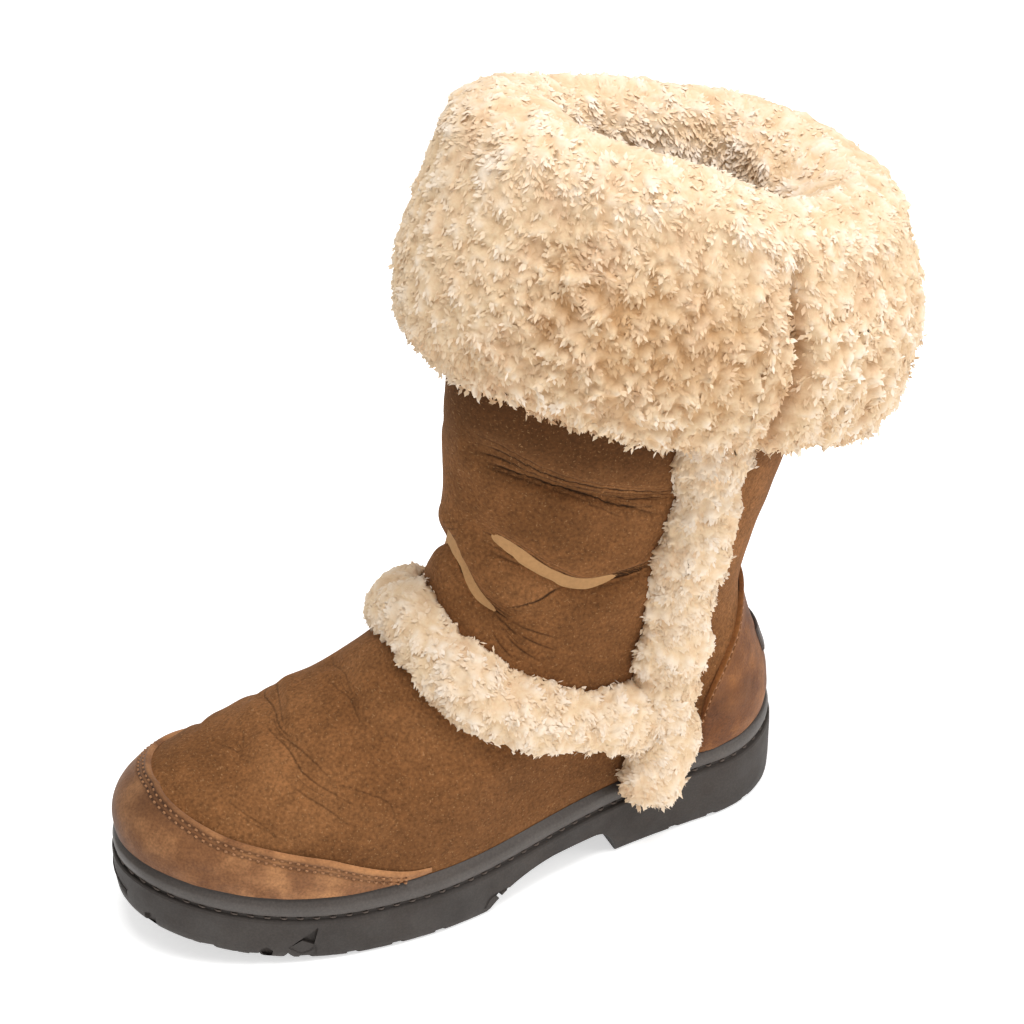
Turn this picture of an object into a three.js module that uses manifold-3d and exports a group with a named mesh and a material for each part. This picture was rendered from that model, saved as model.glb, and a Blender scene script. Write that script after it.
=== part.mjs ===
// Sheepskin boot for a left foot: hollow suede upper on a lugged rubber sole,
// with a folded-down fleece cuff and fleece strips over the side seams and the instep.
// Millimetres, +Z up, toe along +X, outer side of the foot along +Y.
// x is measured from the heel's back end while the pieces are made. The whole boot is then
// moved so that the origin lies in the middle of the heel tread, on the floor.

import * as THREE from 'three';
import { mergeVertices } from 'three/addons/utils/BufferGeometryUtils.js';
import Module from 'manifold-3d';

const wasm = await Module();
wasm.setup();

const { lerp, clamp, smoothstep, degToRad } = THREE.MathUtils;

// Driving dimensions
const LENGTH = 285;
const HEEL_CENTRE = 45;
const WALL = 3;
const GAP = 0.3;

// Sole heights: thickness under the heel and the ball, and how far toe and heel end rise
const HEEL_THICK = 28;
const BALL_THICK = 21;
const THIN_FROM = 0.15 * LENGTH;
const THIN_TO = 0.62 * LENGTH;
const TOE_SPRING = 18;
const SPRING_FROM = 0.7;
const HEEL_RISE = 4;
const HEEL_BEVEL = 5;
const BEVEL_LENGTH = 14;

// Samples round a ring: the upper and all that is set against it share one count
const AROUND = 36;

// Rings of the upper from the feather edge (level 0) to the fold of the cuff (level 12).
// follow: how far a ring bends with the sole; heelAt and ballAt: where the widest places lie,
// as shares of the ring's length; nose: roundness of the toe end; skew: left-foot curve.
const COLUMNS = ['backX', 'backZ', 'frontX', 'frontZ', 'follow', 'heelAt', 'heelHalf',
  'ballAt', 'ballHalf', 'waist', 'nose', 'skew'];
const FEATHER = 2.3;
const RINGS = [
  [6, soleLine(6) + FEATHER, 279, soleLine(279) + FEATHER, 1, 0.15, 32, 0.66, 48.5, 4.5, 2.3, 1],
  [4, 44, 281, 54, 1, 0.15, 34.5, 0.66, 50, 4.5, 2.35, 1],
  [5, 56, 276, 63, 0.8, 0.16, 35.5, 0.65, 49, 4, 2.35, 1],
  [8, 66, 261, 70, 0.5, 0.18, 36, 0.6, 46.5, 3, 2.25, 0.8],
  [11, 75, 237, 76, 0.2, 0.21, 36.5, 0.54, 44, 1, 2.1, 0.5],
  [14, 85, 207, 85, 0, 0.26, 36.5, 0.52, 42.5, 0, 2.05, 0.3],
  [16, 96, 177, 99, 0, 0.32, 37, 0.52, 41.5, 0, 2, 0.1],
  [15, 110, 153, 120, 0, 0.38, 38, 0.52, 41, 0, 2, 0],
  [8, 130, 142, 147, 0, 0.42, 39, 0.52, 41, 0, 2, 0],
  [-2, 153, 140, 176, 0, 0.44, 40, 0.52, 41.5, 0, 2, 0],
  [-13, 180, 138, 206, 0, 0.45, 41, 0.52, 42, 0, 2, 0],
  [-26, 216, 129, 255, 0, 0.45, 42, 0.52, 43, 0, 2, 0],
  [-28, 247, 118, 305, 0, 0.45, 42, 0.52, 43, 0, 2, 0],
];
const SOLE_RING = named([0, 0, LENGTH, 0, 1, 0.15, 37, 0.66, 53.5, 5, 2.3, 1]);
const TOP_LEVEL = RINGS.length - 1;
const RAND_LEVEL = 0.5;

// Left-foot curve: ball set back on the inner side, toe swung inward, inner waist deeper
const BALL_STAGGER = 0.03;
const NOSE_STAGGER = 0.25;
const TOE_SWING = -5;
const SWING_FROM = 0.45;
const WAIST_STAGGER = 0.45;

function spring(x) {
  return TOE_SPRING * Math.max((x / LENGTH - SPRING_FROM) / (1 - SPRING_FROM), 0) ** 2;
}

// Height of the line between outsole and rand
function soleLine(x) {
  const thickness = lerp(HEEL_THICK, BALL_THICK, smoothstep(x, THIN_FROM, THIN_TO));
  return thickness + spring(x) + HEEL_RISE * clamp(1 - x / THIN_FROM, 0, 1.2) ** 2;
}

// Height of the tread: flat under heel and ball, bevelled behind, rising to the toe
function treadLine(x) {
  return spring(x) + HEEL_BEVEL * clamp(1 - x / BEVEL_LENGTH, 0, 1) ** 2;
}

function named(values) {
  return Object.fromEntries(COLUMNS.map((column, i) => [column, values[i]]));
}

// Smooth blend of the ring table at any level
function ringAt(level) {
  const i = clamp(Math.floor(level), 0, TOP_LEVEL - 1);
  const t = level - i;
  const blend = COLUMNS.map((_, c) => {
    const p1 = RINGS[i][c];
    const p2 = RINGS[i + 1][c];
    const p0 = i > 0 ? RINGS[i - 1][c] : 2 * p1 - p2;
    const p3 = i + 2 <= TOP_LEVEL ? RINGS[i + 2][c] : 2 * p2 - p1;
    const rise = (p2 - p0) / 2;
    const fall = (p3 - p1) / 2;
    const bend = 2 * (p1 - p2) + rise + fall;
    return p1 + t * (rise + t * (3 * (p2 - p1) - 2 * rise - fall + t * bend));
  });
  return named(blend);
}

// Half width at a share s of a ring's length, on side +1 (outer) or -1 (inner)
function halfWidth(ring, s, side) {
  const ballAt = ring.ballAt - side * BALL_STAGGER * ring.skew;
  const nose = ring.nose - side * NOSE_STAGGER * ring.skew;
  if (s >= ballAt) {
    return ring.ballHalf * Math.sqrt(Math.max(1 - ((s - ballAt) / (1 - ballAt)) ** nose, 0));
  }
  if (s < ring.heelAt) {
    return ring.heelHalf * Math.sqrt(1 - ((ring.heelAt - s) / ring.heelAt) ** 2);
  }
  const k = (s - ring.heelAt) / (ballAt - ring.heelAt);
  const waist = ring.waist * (1 - side * WAIST_STAGGER) * Math.sin(Math.PI * k) ** 2;
  return lerp(ring.heelHalf, ring.ballHalf, smoothstep(k, 0, 1)) - waist;
}

// Point of a ring: turn 0 is the back, 0.25 the outer side, 0.5 the front, 0.75 the inner side
function ringPoint(ring, turn) {
  const around = turn - Math.floor(turn);
  const side = around <= 0.5 ? 1 : -1;
  const s = 0.5 - 0.5 * Math.cos(2 * Math.PI * around);
  const x = lerp(ring.backX, ring.frontX, s);
  const y = side * halfWidth(ring, s, side) + TOE_SWING * ring.skew * smoothstep(s, SWING_FROM, 1);
  const straight = lerp(soleLine(ring.backX), soleLine(ring.frontX), s);
  const z = lerp(ring.backZ, ring.frontZ, s) + ring.follow * (soleLine(x) - straight);
  return new THREE.Vector3(x, y, z);
}

function upperPoint(level, turn) {
  return ringPoint(ringAt(level), turn);
}

// Steps for the slopes of the upper, in levels and in turns
const LEVEL_STEP = 0.01;
const TURN_STEP = 0.001;

// Millimetres moved for a unit of level, as a vector
function alongLevel(level, turn) {
  const low = Math.max(level - LEVEL_STEP, 0);
  const high = Math.min(level + LEVEL_STEP, TOP_LEVEL);
  return upperPoint(high, turn).sub(upperPoint(low, turn)).divideScalar(high - low);
}

function alongTurn(level, turn) {
  const before = upperPoint(level, turn - TURN_STEP);
  return upperPoint(level, turn + TURN_STEP).sub(before).divideScalar(2 * TURN_STEP);
}

function upperNormal(level, turn) {
  return alongLevel(level, turn).cross(alongTurn(level, turn)).normalize();
}

// Point at a distance out from the upper's face
function offUpper(level, turn, out) {
  return upperPoint(level, turn).addScaledVector(upperNormal(level, turn), out);
}

// Turns of a ring: half-step samples, so that sample i mirrors sample count - 1 - i
function turnsOf(count) {
  return Array.from({ length: count }, (_, i) => (i + 0.5) / count);
}

// Closed solid from loops of points. A wrapped stack joins its last loop to its first;
// otherwise both ends are capped by strips from one half of the loop to the other.
function solidFromLoops(loops, wrapped) {
  const count = loops[0].length;
  const points = loops.flat();
  const triangles = [];
  const quad = (a, b, c, d) => triangles.push([a, b, c], [a, c, d]);
  const spans = wrapped ? loops.length : loops.length - 1;
  for (let j = 0; j < spans; j += 1) {
    const low = j * count;
    const high = ((j + 1) % loops.length) * count;
    for (let i = 0; i < count; i += 1) {
      const next = (i + 1) % count;
      quad(low + i, low + next, high + next, high + i);
    }
  }
  if (!wrapped) {
    const last = (loops.length - 1) * count;
    for (let i = 0; i < count / 2 - 1; i += 1) {
      const [a, b, c, d] = [i, i + 1, count - 2 - i, count - 1 - i];
      quad(d, c, b, a);
      quad(last + a, last + b, last + c, last + d);
    }
  }
  const volume = triangles.reduce((sum, [a, b, c]) =>
    sum + points[a].dot(points[b].clone().cross(points[c])), 0);
  const facing = volume > 0 ? triangles : triangles.map(([a, b, c]) => [a, c, b]);
  return toSolid(points.flatMap((p) => p.toArray()), facing.flat());
}

function toSolid(positions, triangles) {
  return new wasm.Manifold(new wasm.Mesh({
    numProp: 3,
    vertProperties: Float32Array.from(positions),
    triVerts: Uint32Array.from(triangles),
  }));
}

function solidFromGeometry(geometry) {
  geometry.deleteAttribute('normal');
  geometry.deleteAttribute('uv');
  const merged = mergeVertices(geometry, 1e-4);
  return toSolid(merged.attributes.position.array, merged.index.array);
}

// Largest body of a cut solid, without the crumbs that a cut leaves behind the wall
function mainBody(solid) {
  const bodies = solid.decompose();
  return bodies.reduce((most, body) => (body.volume() > most.volume() ? body : most));
}

function geometryFromSolid(solid) {
  const mesh = solid.getMesh();
  const geometry = new THREE.BufferGeometry();
  geometry.setAttribute('position', new THREE.BufferAttribute(mesh.vertProperties, 3));
  geometry.setIndex(new THREE.BufferAttribute(mesh.triVerts, 1));
  geometry.computeVertexNormals();
  return geometry;
}

// Upper: one hollow wall, or the same wall grown by a clearance to seat other pieces against
const WALL_LEVELS = [0, 0.5, 1, 1.5, 2, 2.5, 3, 3.5, 4, 5, 6, 7, 8, 9, 10.4, 12];

function upperWall(clearance) {
  const turns = turnsOf(AROUND);
  const top = new THREE.Vector3();
  const loopAt = (out) => (level) => turns.map((turn) => {
    const point = offUpper(level, turn, out);
    if (level === TOP_LEVEL) {
      point.addScaledVector(top.copy(alongLevel(level, turn)).normalize(), clearance);
    }
    return point;
  });
  const outer = WALL_LEVELS.map(loopAt(clearance));
  const inner = WALL_LEVELS.map(loopAt(-WALL - clearance)).reverse();
  return solidFromLoops([...outer, ...inner], true);
}

const upper = upperWall(0);
const upperClear = upperWall(GAP);

// Loop of the sole's outline, drawn in by inset, at a height that depends on x
const OUTLINE_STEP = 1e-4;

function soleLoop(inset, height) {
  return turnsOf(AROUND).map((turn) => {
    const point = ringPoint(SOLE_RING, turn);
    const before = ringPoint(SOLE_RING, turn - OUTLINE_STEP);
    const along = ringPoint(SOLE_RING, turn + OUTLINE_STEP).sub(before);
    const inward = new THREE.Vector3(along.y, -along.x, 0).normalize();
    point.addScaledVector(inward, inset);
    point.z = height(point.x);
    return point;
  });
}

// Outsole: side steps from the tread to the stitch groove under the rand.
// share: height between tread line and sole line; lift: added millimetres.
const SIDE_STEPS = [
  { inset: 3, share: 0, lift: 0 },
  { inset: 0.9, share: 0, lift: 3 },
  { inset: 0.9, share: 0.45, lift: 0 },
  { inset: 0, share: 0.5, lift: 0 },
  { inset: 0.3, share: 1, lift: -3.4 },
  { inset: 2.2, share: 1, lift: -2.6 },
  { inset: 2.2, share: 1, lift: 0 },
];

// Arch between heel breast and ball
const ARCH = { heelEnd: 88, roofHeel: 99, roofBall: 119, ballEnd: 152, height: 14, below: -2 };

// Lug grooves cut in from both edges of the tread, leaving a smooth pad in the middle
const LUG = { width: 4.5, depth: 2.5, reach: 19, slant: 14 };
const LUG_PLACES = [24, 42, 60, 172, 190, 208, 226, 244, 260];

// Shallow round notches in the sole's side, at the lower edge
const NOTCH_DEPTH = 2.5;
const NOTCH_STEP = 1;
const NOTCHES = [
  { x: 150, z: 5, radius: 7 },
  { x: 228, z: 8, radius: 7.5 },
  { x: 241, z: 5, radius: 4 },
  { x: 271, z: 13, radius: 4 },
];

// Solid of an outline in x and z, through the boot from side to side
function acrossBoot(shape, fromY, toY) {
  const geometry = new THREE.ExtrudeGeometry(shape, {
    depth: toY - fromY, bevelEnabled: false, curveSegments: 6,
  });
  geometry.rotateX(Math.PI / 2);
  geometry.translate(0, toY, 0);
  return solidFromGeometry(geometry);
}

function archCutter() {
  const shape = new THREE.Shape();
  shape.moveTo(ARCH.heelEnd, ARCH.below);
  shape.lineTo(ARCH.heelEnd, 0);
  shape.quadraticCurveTo(ARCH.heelEnd + 2, ARCH.height, ARCH.roofHeel, ARCH.height);
  shape.lineTo(ARCH.roofBall, ARCH.height);
  shape.quadraticCurveTo(ARCH.ballEnd - 9, ARCH.height - 2, ARCH.ballEnd, 0);
  shape.lineTo(ARCH.ballEnd, ARCH.below);
  return acrossBoot(shape, -LENGTH / 4, LENGTH / 4);
}

// Point of the sole's outline at x, on side +1 (outer) or -1 (inner)
function soleEdge(x, side) {
  const turn = Math.acos(1 - (2 * x) / LENGTH) / (2 * Math.PI);
  return ringPoint(SOLE_RING, side > 0 ? turn : 1 - turn);
}

function lugCutter(x, side) {
  const box = new THREE.BoxGeometry(LUG.width, 2 * LUG.reach, 2 * LUG.depth);
  box.rotateZ(degToRad(side * LUG.slant));
  box.translate(x, soleEdge(x, side).y, treadLine(x));
  return solidFromGeometry(box);
}

function notchCutter({ x, z, radius }, side) {
  const round = new THREE.CylinderGeometry(radius, radius, 2 * NOTCH_DEPTH, 12);
  const along = soleEdge(x + NOTCH_STEP, side).sub(soleEdge(x - NOTCH_STEP, side));
  round.rotateZ(Math.atan2(along.y, along.x));
  round.translate(x, soleEdge(x, side).y, z);
  return solidFromGeometry(round);
}

function makeOutsole() {
  const loops = SIDE_STEPS.map(({ inset, share, lift }) =>
    soleLoop(inset, (x) => lerp(treadLine(x), soleLine(x), share) + lift));
  const cutters = [archCutter()];
  for (const side of [1, -1]) {
    cutters.push(...LUG_PLACES.map((x) => lugCutter(x, side)));
    cutters.push(...NOTCHES.map((notch) => notchCutter(notch, side)));
  }
  return solidFromLoops(loops, false).subtract(wasm.Manifold.union(cutters));
}

// Midsole and rand: a cup with a thin floor. Its lip stands against the upper, up to RAND_LEVEL.
const CUP_FLOOR = 1.7;
const RAND_STEPS = [
  { inset: 2.2, lift: GAP },
  { inset: 1.2, lift: 1.1 },
  { inset: 1, lift: 3.4 },
  { inset: 1.4, lift: 5.6 },
  { inset: 2.2, lift: 7 },
];

function makeRand(clearance) {
  const turns = turnsOf(AROUND);
  const outer = RAND_STEPS.map(({ inset, lift }) =>
    soleLoop(inset - clearance, (x) => soleLine(x) + lift + clearance));
  const raised = new THREE.Vector3(0, 0, clearance);
  const lip = turns.map((turn) => offUpper(RAND_LEVEL, turn, GAP).add(raised));
  const foot = turns.map((turn) => offUpper(0, turn, GAP));
  const floor = foot.map((point) => point.clone().setZ(soleLine(point.x) + CUP_FLOOR));
  return solidFromLoops([...outer, lip, foot, floor], false);
}

// Insole inside the upper, on the cup's floor
const INSOLE_LEVELS = [0, 0.3];
const INSOLE_CLEARANCE = 0.7;

function makeInsole() {
  const loops = INSOLE_LEVELS.map((level) =>
    turnsOf(AROUND).map((turn) => offUpper(level, turn, -WALL - INSOLE_CLEARANCE)));
  return solidFromLoops(loops, false);
}

// Value at a place in a table of [place, value] rows, eased between the rows
function tableAt(rows, place) {
  const high = Math.max(1, rows.findIndex(([at]) => at >= place));
  const last = rows.length - 1;
  const top = place >= rows[last][0] ? last : high;
  const [a, low] = rows[top - 1];
  const [b, end] = rows[top];
  return lerp(low, end, clamp((place - a) / (b - a), 0, 1));
}

// Share of a turn away from the back, the same on both sides
function fromBack(turn) {
  const around = turn - Math.floor(turn);
  return Math.min(around, 1 - around);
}

// Overlay panel: a plate from a low level up to its edge, cut to stand clear of the upper.
// face and back: distances of its two sides from the upper's face.
const SUNK = -1;
const PANEL_LOW = 0.6;
const PANEL_ROWS = 4;

function makePanel({ from, to, stations, edge, face, back = SUNK, low = PANEL_LOW }) {
  const loops = [];
  for (let i = 0; i <= stations; i += 1) {
    const turn = lerp(from, to, i / stations);
    const levels = Array.from({ length: PANEL_ROWS + 1 }, (_, j) =>
      lerp(low, edge(turn), j / PANEL_ROWS));
    const outside = levels.map((level) => offUpper(level, turn, face));
    const inside = levels.map((level) => offUpper(level, turn, back)).reverse();
    loops.push([...outside, ...inside]);
  }
  return mainBody(solidFromLoops(loops, false).subtract(upperClear));
}

// Toe cap: level of its seam by share of a turn from the back, highest at the toe's front
const TOE_CAP = {
  thickness: 2,
  stations: 16,
  edge: [[0.286, 0.75], [0.3, 0.9], [0.328, 1.55], [0.342, 1.8], [0.372, 2.08],
    [0.399, 2.27], [0.432, 2.53], [0.461, 2.7], [0.5, 2.84]],
};

function makeToeCap() {
  const { thickness, stations, edge } = TOE_CAP;
  const [from] = edge[0];
  return makePanel({
    from, to: 1 - from, stations, face: thickness, edge: (turn) => tableAt(edge, fromBack(turn)),
  });
}

// Heel counter: arched edge over the heel's back. The same cup grown by a margin keeps others clear.
const COUNTER = {
  thickness: 2,
  stations: 12,
  end: 0.135,
  edge: [[0, 6.5], [0.03, 6.35], [0.061, 5.85], [0.09, 5], [0.113, 4.1], [0.128, 2.6], [0.135, 0.8]],
};
const COUNTER_MARGIN = { turn: 0.01, level: 0.1 };

function makeCounter() {
  const { thickness, stations, end, edge } = COUNTER;
  return makePanel({
    from: -end, to: end, stations, face: thickness, edge: (turn) => tableAt(edge, fromBack(turn)),
  });
}

function counterKeepOut() {
  const { thickness, stations, edge } = COUNTER;
  const end = COUNTER.end + COUNTER_MARGIN.turn;
  return makePanel({
    from: -end,
    to: end,
    stations,
    face: thickness + GAP,
    low: RAND_LEVEL,
    edge: (turn) => tableAt(edge, fromBack(turn)) + COUNTER_MARGIN.level,
  });
}

// Plain patch on the counter's back
const PATCH = { halfTurn: 0.04, low: 2.5, high: 3.8, thickness: 1.2, stations: 4 };

function makePatch() {
  const { halfTurn, low, high, thickness, stations } = PATCH;
  const back = COUNTER.thickness + GAP;
  return makePanel({
    from: -halfTurn, to: halfTurn, stations, low, back, face: back + thickness, edge: () => high,
  });
}

// Lock of fleece: a blunt tuft, half of it sunk in the pile, spun by its height so that locks differ
function makeLock(foot, direction, radius, length) {
  const tuft = new THREE.OctahedronGeometry(1);
  const axis = new THREE.Vector3(0, 1, 0);
  tuft.rotateY(foot.z);
  tuft.scale(radius, length, radius);
  tuft.applyQuaternion(new THREE.Quaternion().setFromUnitVectors(axis, direction.clone().normalize()));
  tuft.translate(...foot.toArray());
  return solidFromGeometry(tuft);
}

// Cuff: a fold of fleece over the collar. Points of its section run from the foot of the inner leg,
// over the roll, down the outer leg and back up inside the wall.
// drop: share of the cuff's depth below the fold; out: distance from the upper's face;
// rise: height above the fold.
const CUFF_AROUND = 26;
const CUFF_SECTION = [
  { drop: 0.3, out: SUNK, rise: 0 },
  { drop: 0.33, out: -10, rise: 0 },
  { drop: 0.2, out: -15, rise: 0 },
  { drop: 0, out: -16, rise: 5 },
  { drop: 0, out: -10, rise: 15 },
  { drop: 0, out: 2, rise: 19 },
  { drop: 0, out: 12, rise: 13 },
  { drop: 0.06, out: 17, rise: 0 },
  { drop: 0.3, out: 21, rise: 0 },
  { drop: 0.6, out: 24, rise: 0 },
  { drop: 0.85, out: 22, rise: 0 },
  { drop: 1, out: 13, rise: 0 },
  { drop: 1, out: 4, rise: 0 },
  { drop: 0.97, out: SUNK, rise: 0 },
];
const CUFF_EDGE = [[0, 9.5], [0.1, 9.82], [0.176, 10.05], [0.276, 10.14], [0.339, 10.28],
  [0.393, 10.4], [0.5, 10.5]];
// The outer leg stands out further at the back, from one share of a turn to another
const CUFF_BACK = { fuller: 1.28, from: 0.05, to: 0.4 };
// Pinch at both side seams; lips: turns to its shoulders; clear: turns kept free of other loops
const CUFF_SEAM = { turn: 0.215, depth: 0.3, spread: 0.012, lips: 0.014, clear: 0.018 };
const CUFF_LOCKS = [
  { drop: 0.14, count: 11, radius: 12, length: 4.5, fall: 0.5 },
  { drop: 0.42, count: 12, radius: 12, length: 5, fall: 0.6 },
  { drop: 0.7, count: 12, radius: 12, length: 5.5, fall: 0.8 },
  { drop: 0.95, count: 18, radius: 9, length: 9.5, fall: 2.5 },
];
const LOCK_WANDER = 0.008;
const LOCK_LEVEL = 11;
const CUFF_LUMP = 2;

// Place on the cuff for a point of its section, its outer faces raised by a lump of pile
function cuffPoint(turn, { drop, out, rise }, lump = 0) {
  const level = lerp(TOP_LEVEL, tableAt(CUFF_EDGE, fromBack(turn)), drop);
  const fuller = lerp(CUFF_BACK.fuller, 1, smoothstep(fromBack(turn), CUFF_BACK.from, CUFF_BACK.to));
  const fromSeam = (fromBack(turn) - CUFF_SEAM.turn) / CUFF_SEAM.spread;
  const pinch = 1 - CUFF_SEAM.depth * Math.exp(-fromSeam * fromSeam);
  const reach = out > 0 ? out * fuller * pinch + lump : out;
  const up = alongLevel(TOP_LEVEL, turn).normalize();
  return offUpper(level, turn, reach).addScaledVector(up, rise);
}

function makeCuff() {
  const { turn: seam, lips, clear } = CUFF_SEAM;
  const seamTurns = [seam, seam - lips, seam + lips];
  const even = turnsOf(CUFF_AROUND).filter((turn) => Math.abs(fromBack(turn) - seam) > clear);
  const turns = [...even, ...seamTurns, ...seamTurns.map((turn) => 1 - turn)].sort((a, b) => a - b);
  const lump = (i, j) => ((i + j) % 2 === 0 ? CUFF_LUMP : -CUFF_LUMP);
  const loops = turns.map((turn, i) => CUFF_SECTION.map((spot, j) => cuffPoint(turn, spot, lump(i, j))));
  const body = solidFromLoops(loops, true);
  const outerLeg = CUFF_SECTION.filter(({ rise, out }) => rise === 0 && out > 10)
    .map(({ drop, out }) => [drop, out]);
  const locks = CUFF_LOCKS.flatMap(({ drop, count, radius, length, fall }, row) =>
    turnsOf(count).map((place, i) => {
      const turn = place + (row % 2) / (2 * count) + LOCK_WANDER * Math.sin(7 * i + 3 * row);
      const foot = cuffPoint(turn, { drop, out: tableAt(outerLeg, drop), rise: 0 });
      const down = alongLevel(LOCK_LEVEL, turn).normalize().negate();
      const direction = upperNormal(LOCK_LEVEL, turn).addScaledVector(down, fall);
      return makeLock(foot, direction, radius, length);
    }));
  return mainBody(wasm.Manifold.union([body, ...locks]).subtract(upperClear));
}

// Fleece strips: half-round beads along a path on the upper, with locks on both shoulders.
// Path rows hold turn and level, for the outer side; the inner side is their mirror.
// shoulder: how full the bead is at its edges; lump: rise and fall of the pile;
// foot: how far the base is drawn in, as a share of the width
const STRIP = {
  halfWidth: 13,
  height: 11.5,
  shoulder: 1.12,
  lump: 1.2,
  foot: 0.94,
  stations: 14,
  shoulders: [-0.62, 0.62],
};
const STRIP_LOCK = { radius: 7.5, length: 4.5, pitch: 26, spread: 0.9, core: 0.5, trail: 0.6 };
const SIDE_PATH = [[0.224, 10.3], [0.216, 9.5], [0.208, 8.7], [0.21, 7.73], [0.197, 6.98],
  [0.183, 5.98], [0.171, 4.78], [0.163, 3.62], [0.158, 2.02], [0.165, 0.78], [0.167, 0.1]];
const ANKLE_HALF = [[0.158, 2.75], [0.19, 3.5], [0.222, 4.17], [0.293, 5.3], [0.378, 6.25],
  [0.444, 6.65], [0.5, 6.85]];
const ANKLE_PATH = [...ANKLE_HALF, ...ANKLE_HALF.slice(0, -1).reverse()
  .map(([turn, level]) => [1 - turn, level])];

function stripCurve(path) {
  return new THREE.CatmullRomCurve3(path.map(([turn, level]) =>
    new THREE.Vector3(turn, level / TOP_LEVEL, 0)));
}

// Place on the upper of a point of a strip's curve
function onUpper({ x, y }) {
  return upperPoint(y * TOP_LEVEL, x);
}

const CURVE_STEP = 0.004;

function stripAhead(curve, t) {
  const last = onUpper(curve.getPoint(Math.max(t - CURVE_STEP, 0)));
  return onUpper(curve.getPoint(Math.min(t + CURVE_STEP, 1))).sub(last).normalize();
}

// Point of a strip at t along its curve, at distances across it and out from the upper
function stripPoint(curve, t, across, out) {
  const at = curve.getPoint(t);
  const turn = at.x;
  const level = at.y * TOP_LEVEL;
  const sideways = upperNormal(level, turn).cross(stripAhead(curve, t));
  const byLevel = alongLevel(level, turn);
  const byTurn = alongTurn(level, turn);
  const [ll, lt, tt] = [byLevel.dot(byLevel), byLevel.dot(byTurn), byTurn.dot(byTurn)];
  const [sl, st] = [sideways.dot(byLevel), sideways.dot(byTurn)];
  const scale = across / (ll * tt - lt * lt);
  const atLevel = level + (sl * tt - st * lt) * scale;
  return offUpper(clamp(atLevel, 0, TOP_LEVEL), turn + (st * ll - sl * lt) * scale, out);
}

const STRIP_TOP = [-1, -0.7, 0, 0.7, 1];

function stripBody(curve, grow) {
  const loops = [];
  for (let i = 0; i <= STRIP.stations; i += 1) {
    const t = i / STRIP.stations;
    const place = (share, out) => stripPoint(curve, t, share * (STRIP.halfWidth + grow), out);
    const top = STRIP_TOP.map((share, j) => {
      const lump = (i + j) % 2 === 0 ? STRIP.lump : -STRIP.lump;
      return place(share, (STRIP.height + grow) * Math.sqrt(STRIP.shoulder - share * share) + lump);
    });
    const base = STRIP_TOP.map((share) => place(share * STRIP.foot, SUNK)).reverse();
    loops.push([...top, ...base]);
  }
  return solidFromLoops(loops, false);
}

const LENGTH_SAMPLES = 40;

function stripLocks(curve) {
  const line = curve.getPoints(LENGTH_SAMPLES).map(onUpper);
  const length = line.slice(1).reduce((sum, point, i) => sum + point.distanceTo(line[i]), 0);
  const count = Math.floor(length / STRIP_LOCK.pitch);
  const locks = [];
  for (let i = 0; i < count; i += 1) {
    STRIP.shoulders.forEach((share, side) => {
      const t = (i + 0.5 + side * 0.5) / (count + 0.5);
      const across = share * STRIP.halfWidth;
      const out = STRIP.height * Math.sqrt(STRIP.shoulder - share * share);
      const foot = stripPoint(curve, t, across, out);
      const core = stripPoint(curve, t, across * (1 - STRIP_LOCK.spread), out * STRIP_LOCK.core);
      const direction = foot.clone().sub(core).normalize()
        .addScaledVector(stripAhead(curve, t), STRIP_LOCK.trail);
      locks.push(makeLock(foot, direction, STRIP_LOCK.radius, STRIP_LOCK.length));
    });
  }
  return locks;
}

function makeStrip(path, keepOut) {
  const curve = stripCurve(path);
  const raw = wasm.Manifold.union([stripBody(curve, 0), ...stripLocks(curve)]);
  return mainBody(raw.subtract(wasm.Manifold.union([upperClear, ...keepOut])));
}

// Assembly
const innerSide = (path) => path.map(([turn, level]) => [1 - turn, level]);
const rubber = { roughness: 0.75, metalness: 0 };
const hide = { roughness: 0.95, metalness: 0 };
const FINISHES = {
  soleRubber: { color: 0x4f4947, ...rubber },
  randRubber: { color: 0x6a6461, ...rubber },
  suede: { color: 0x7a5030, ...hide },
  nubuck: { color: 0x9a683f, ...hide },
  smoothLeather: { color: 0x6e3d22, roughness: 0.55, metalness: 0 },
  fleece: { color: 0xeedcbc, roughness: 1, metalness: 0 },
};

const rand = makeRand(0);
const randClear = makeRand(GAP);
const counter = makeCounter();
const cuff = makeCuff();
const STRIP_MARGIN = 6;
const underCuff = cuff.translate([0, 0, -GAP]);
const besideSide = [randClear, counterKeepOut(), cuff, underCuff];
const sidePaths = [SIDE_PATH, innerSide(SIDE_PATH)];
const sideBodies = sidePaths.map((path) => stripBody(stripCurve(path), STRIP_MARGIN));

const PIECES = [
  ['outsole', makeOutsole(), 'soleRubber'],
  ['midsole_rand', rand, 'randRubber'],
  ['insole', makeInsole(), 'fleece'],
  ['upper', upper, 'suede'],
  ['toe_cap', makeToeCap(), 'nubuck'],
  ['heel_counter', counter, 'smoothLeather'],
  ['heel_patch', makePatch(), 'smoothLeather'],
  ['cuff', cuff, 'fleece'],
  ['side_fur_strip_lateral', makeStrip(sidePaths[0], besideSide), 'fleece'],
  ['side_fur_strip_medial', makeStrip(sidePaths[1], besideSide), 'fleece'],
  ['ankle_fur_strip', makeStrip(ANKLE_PATH, sideBodies), 'fleece'],
];

const boot = new THREE.Group();
boot.position.x = -HEEL_CENTRE;
for (const [name, solid, finish] of PIECES) {
  const material = new THREE.MeshStandardMaterial(FINISHES[finish]);
  const mesh = new THREE.Mesh(geometryFromSolid(solid), material);
  mesh.name = name;
  boot.add(mesh);
}

export default boot;
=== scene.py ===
"""Sheepskin boot for a left foot: hollow suede upper, lugged rubber sole, folded fleece cuff.

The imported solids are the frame. Tables are in millimetres, with x from the heel's back end, +Y to the
outer side of the foot and +Z up, and to_frame turns them into the frame's metres.
"""
import math

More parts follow.
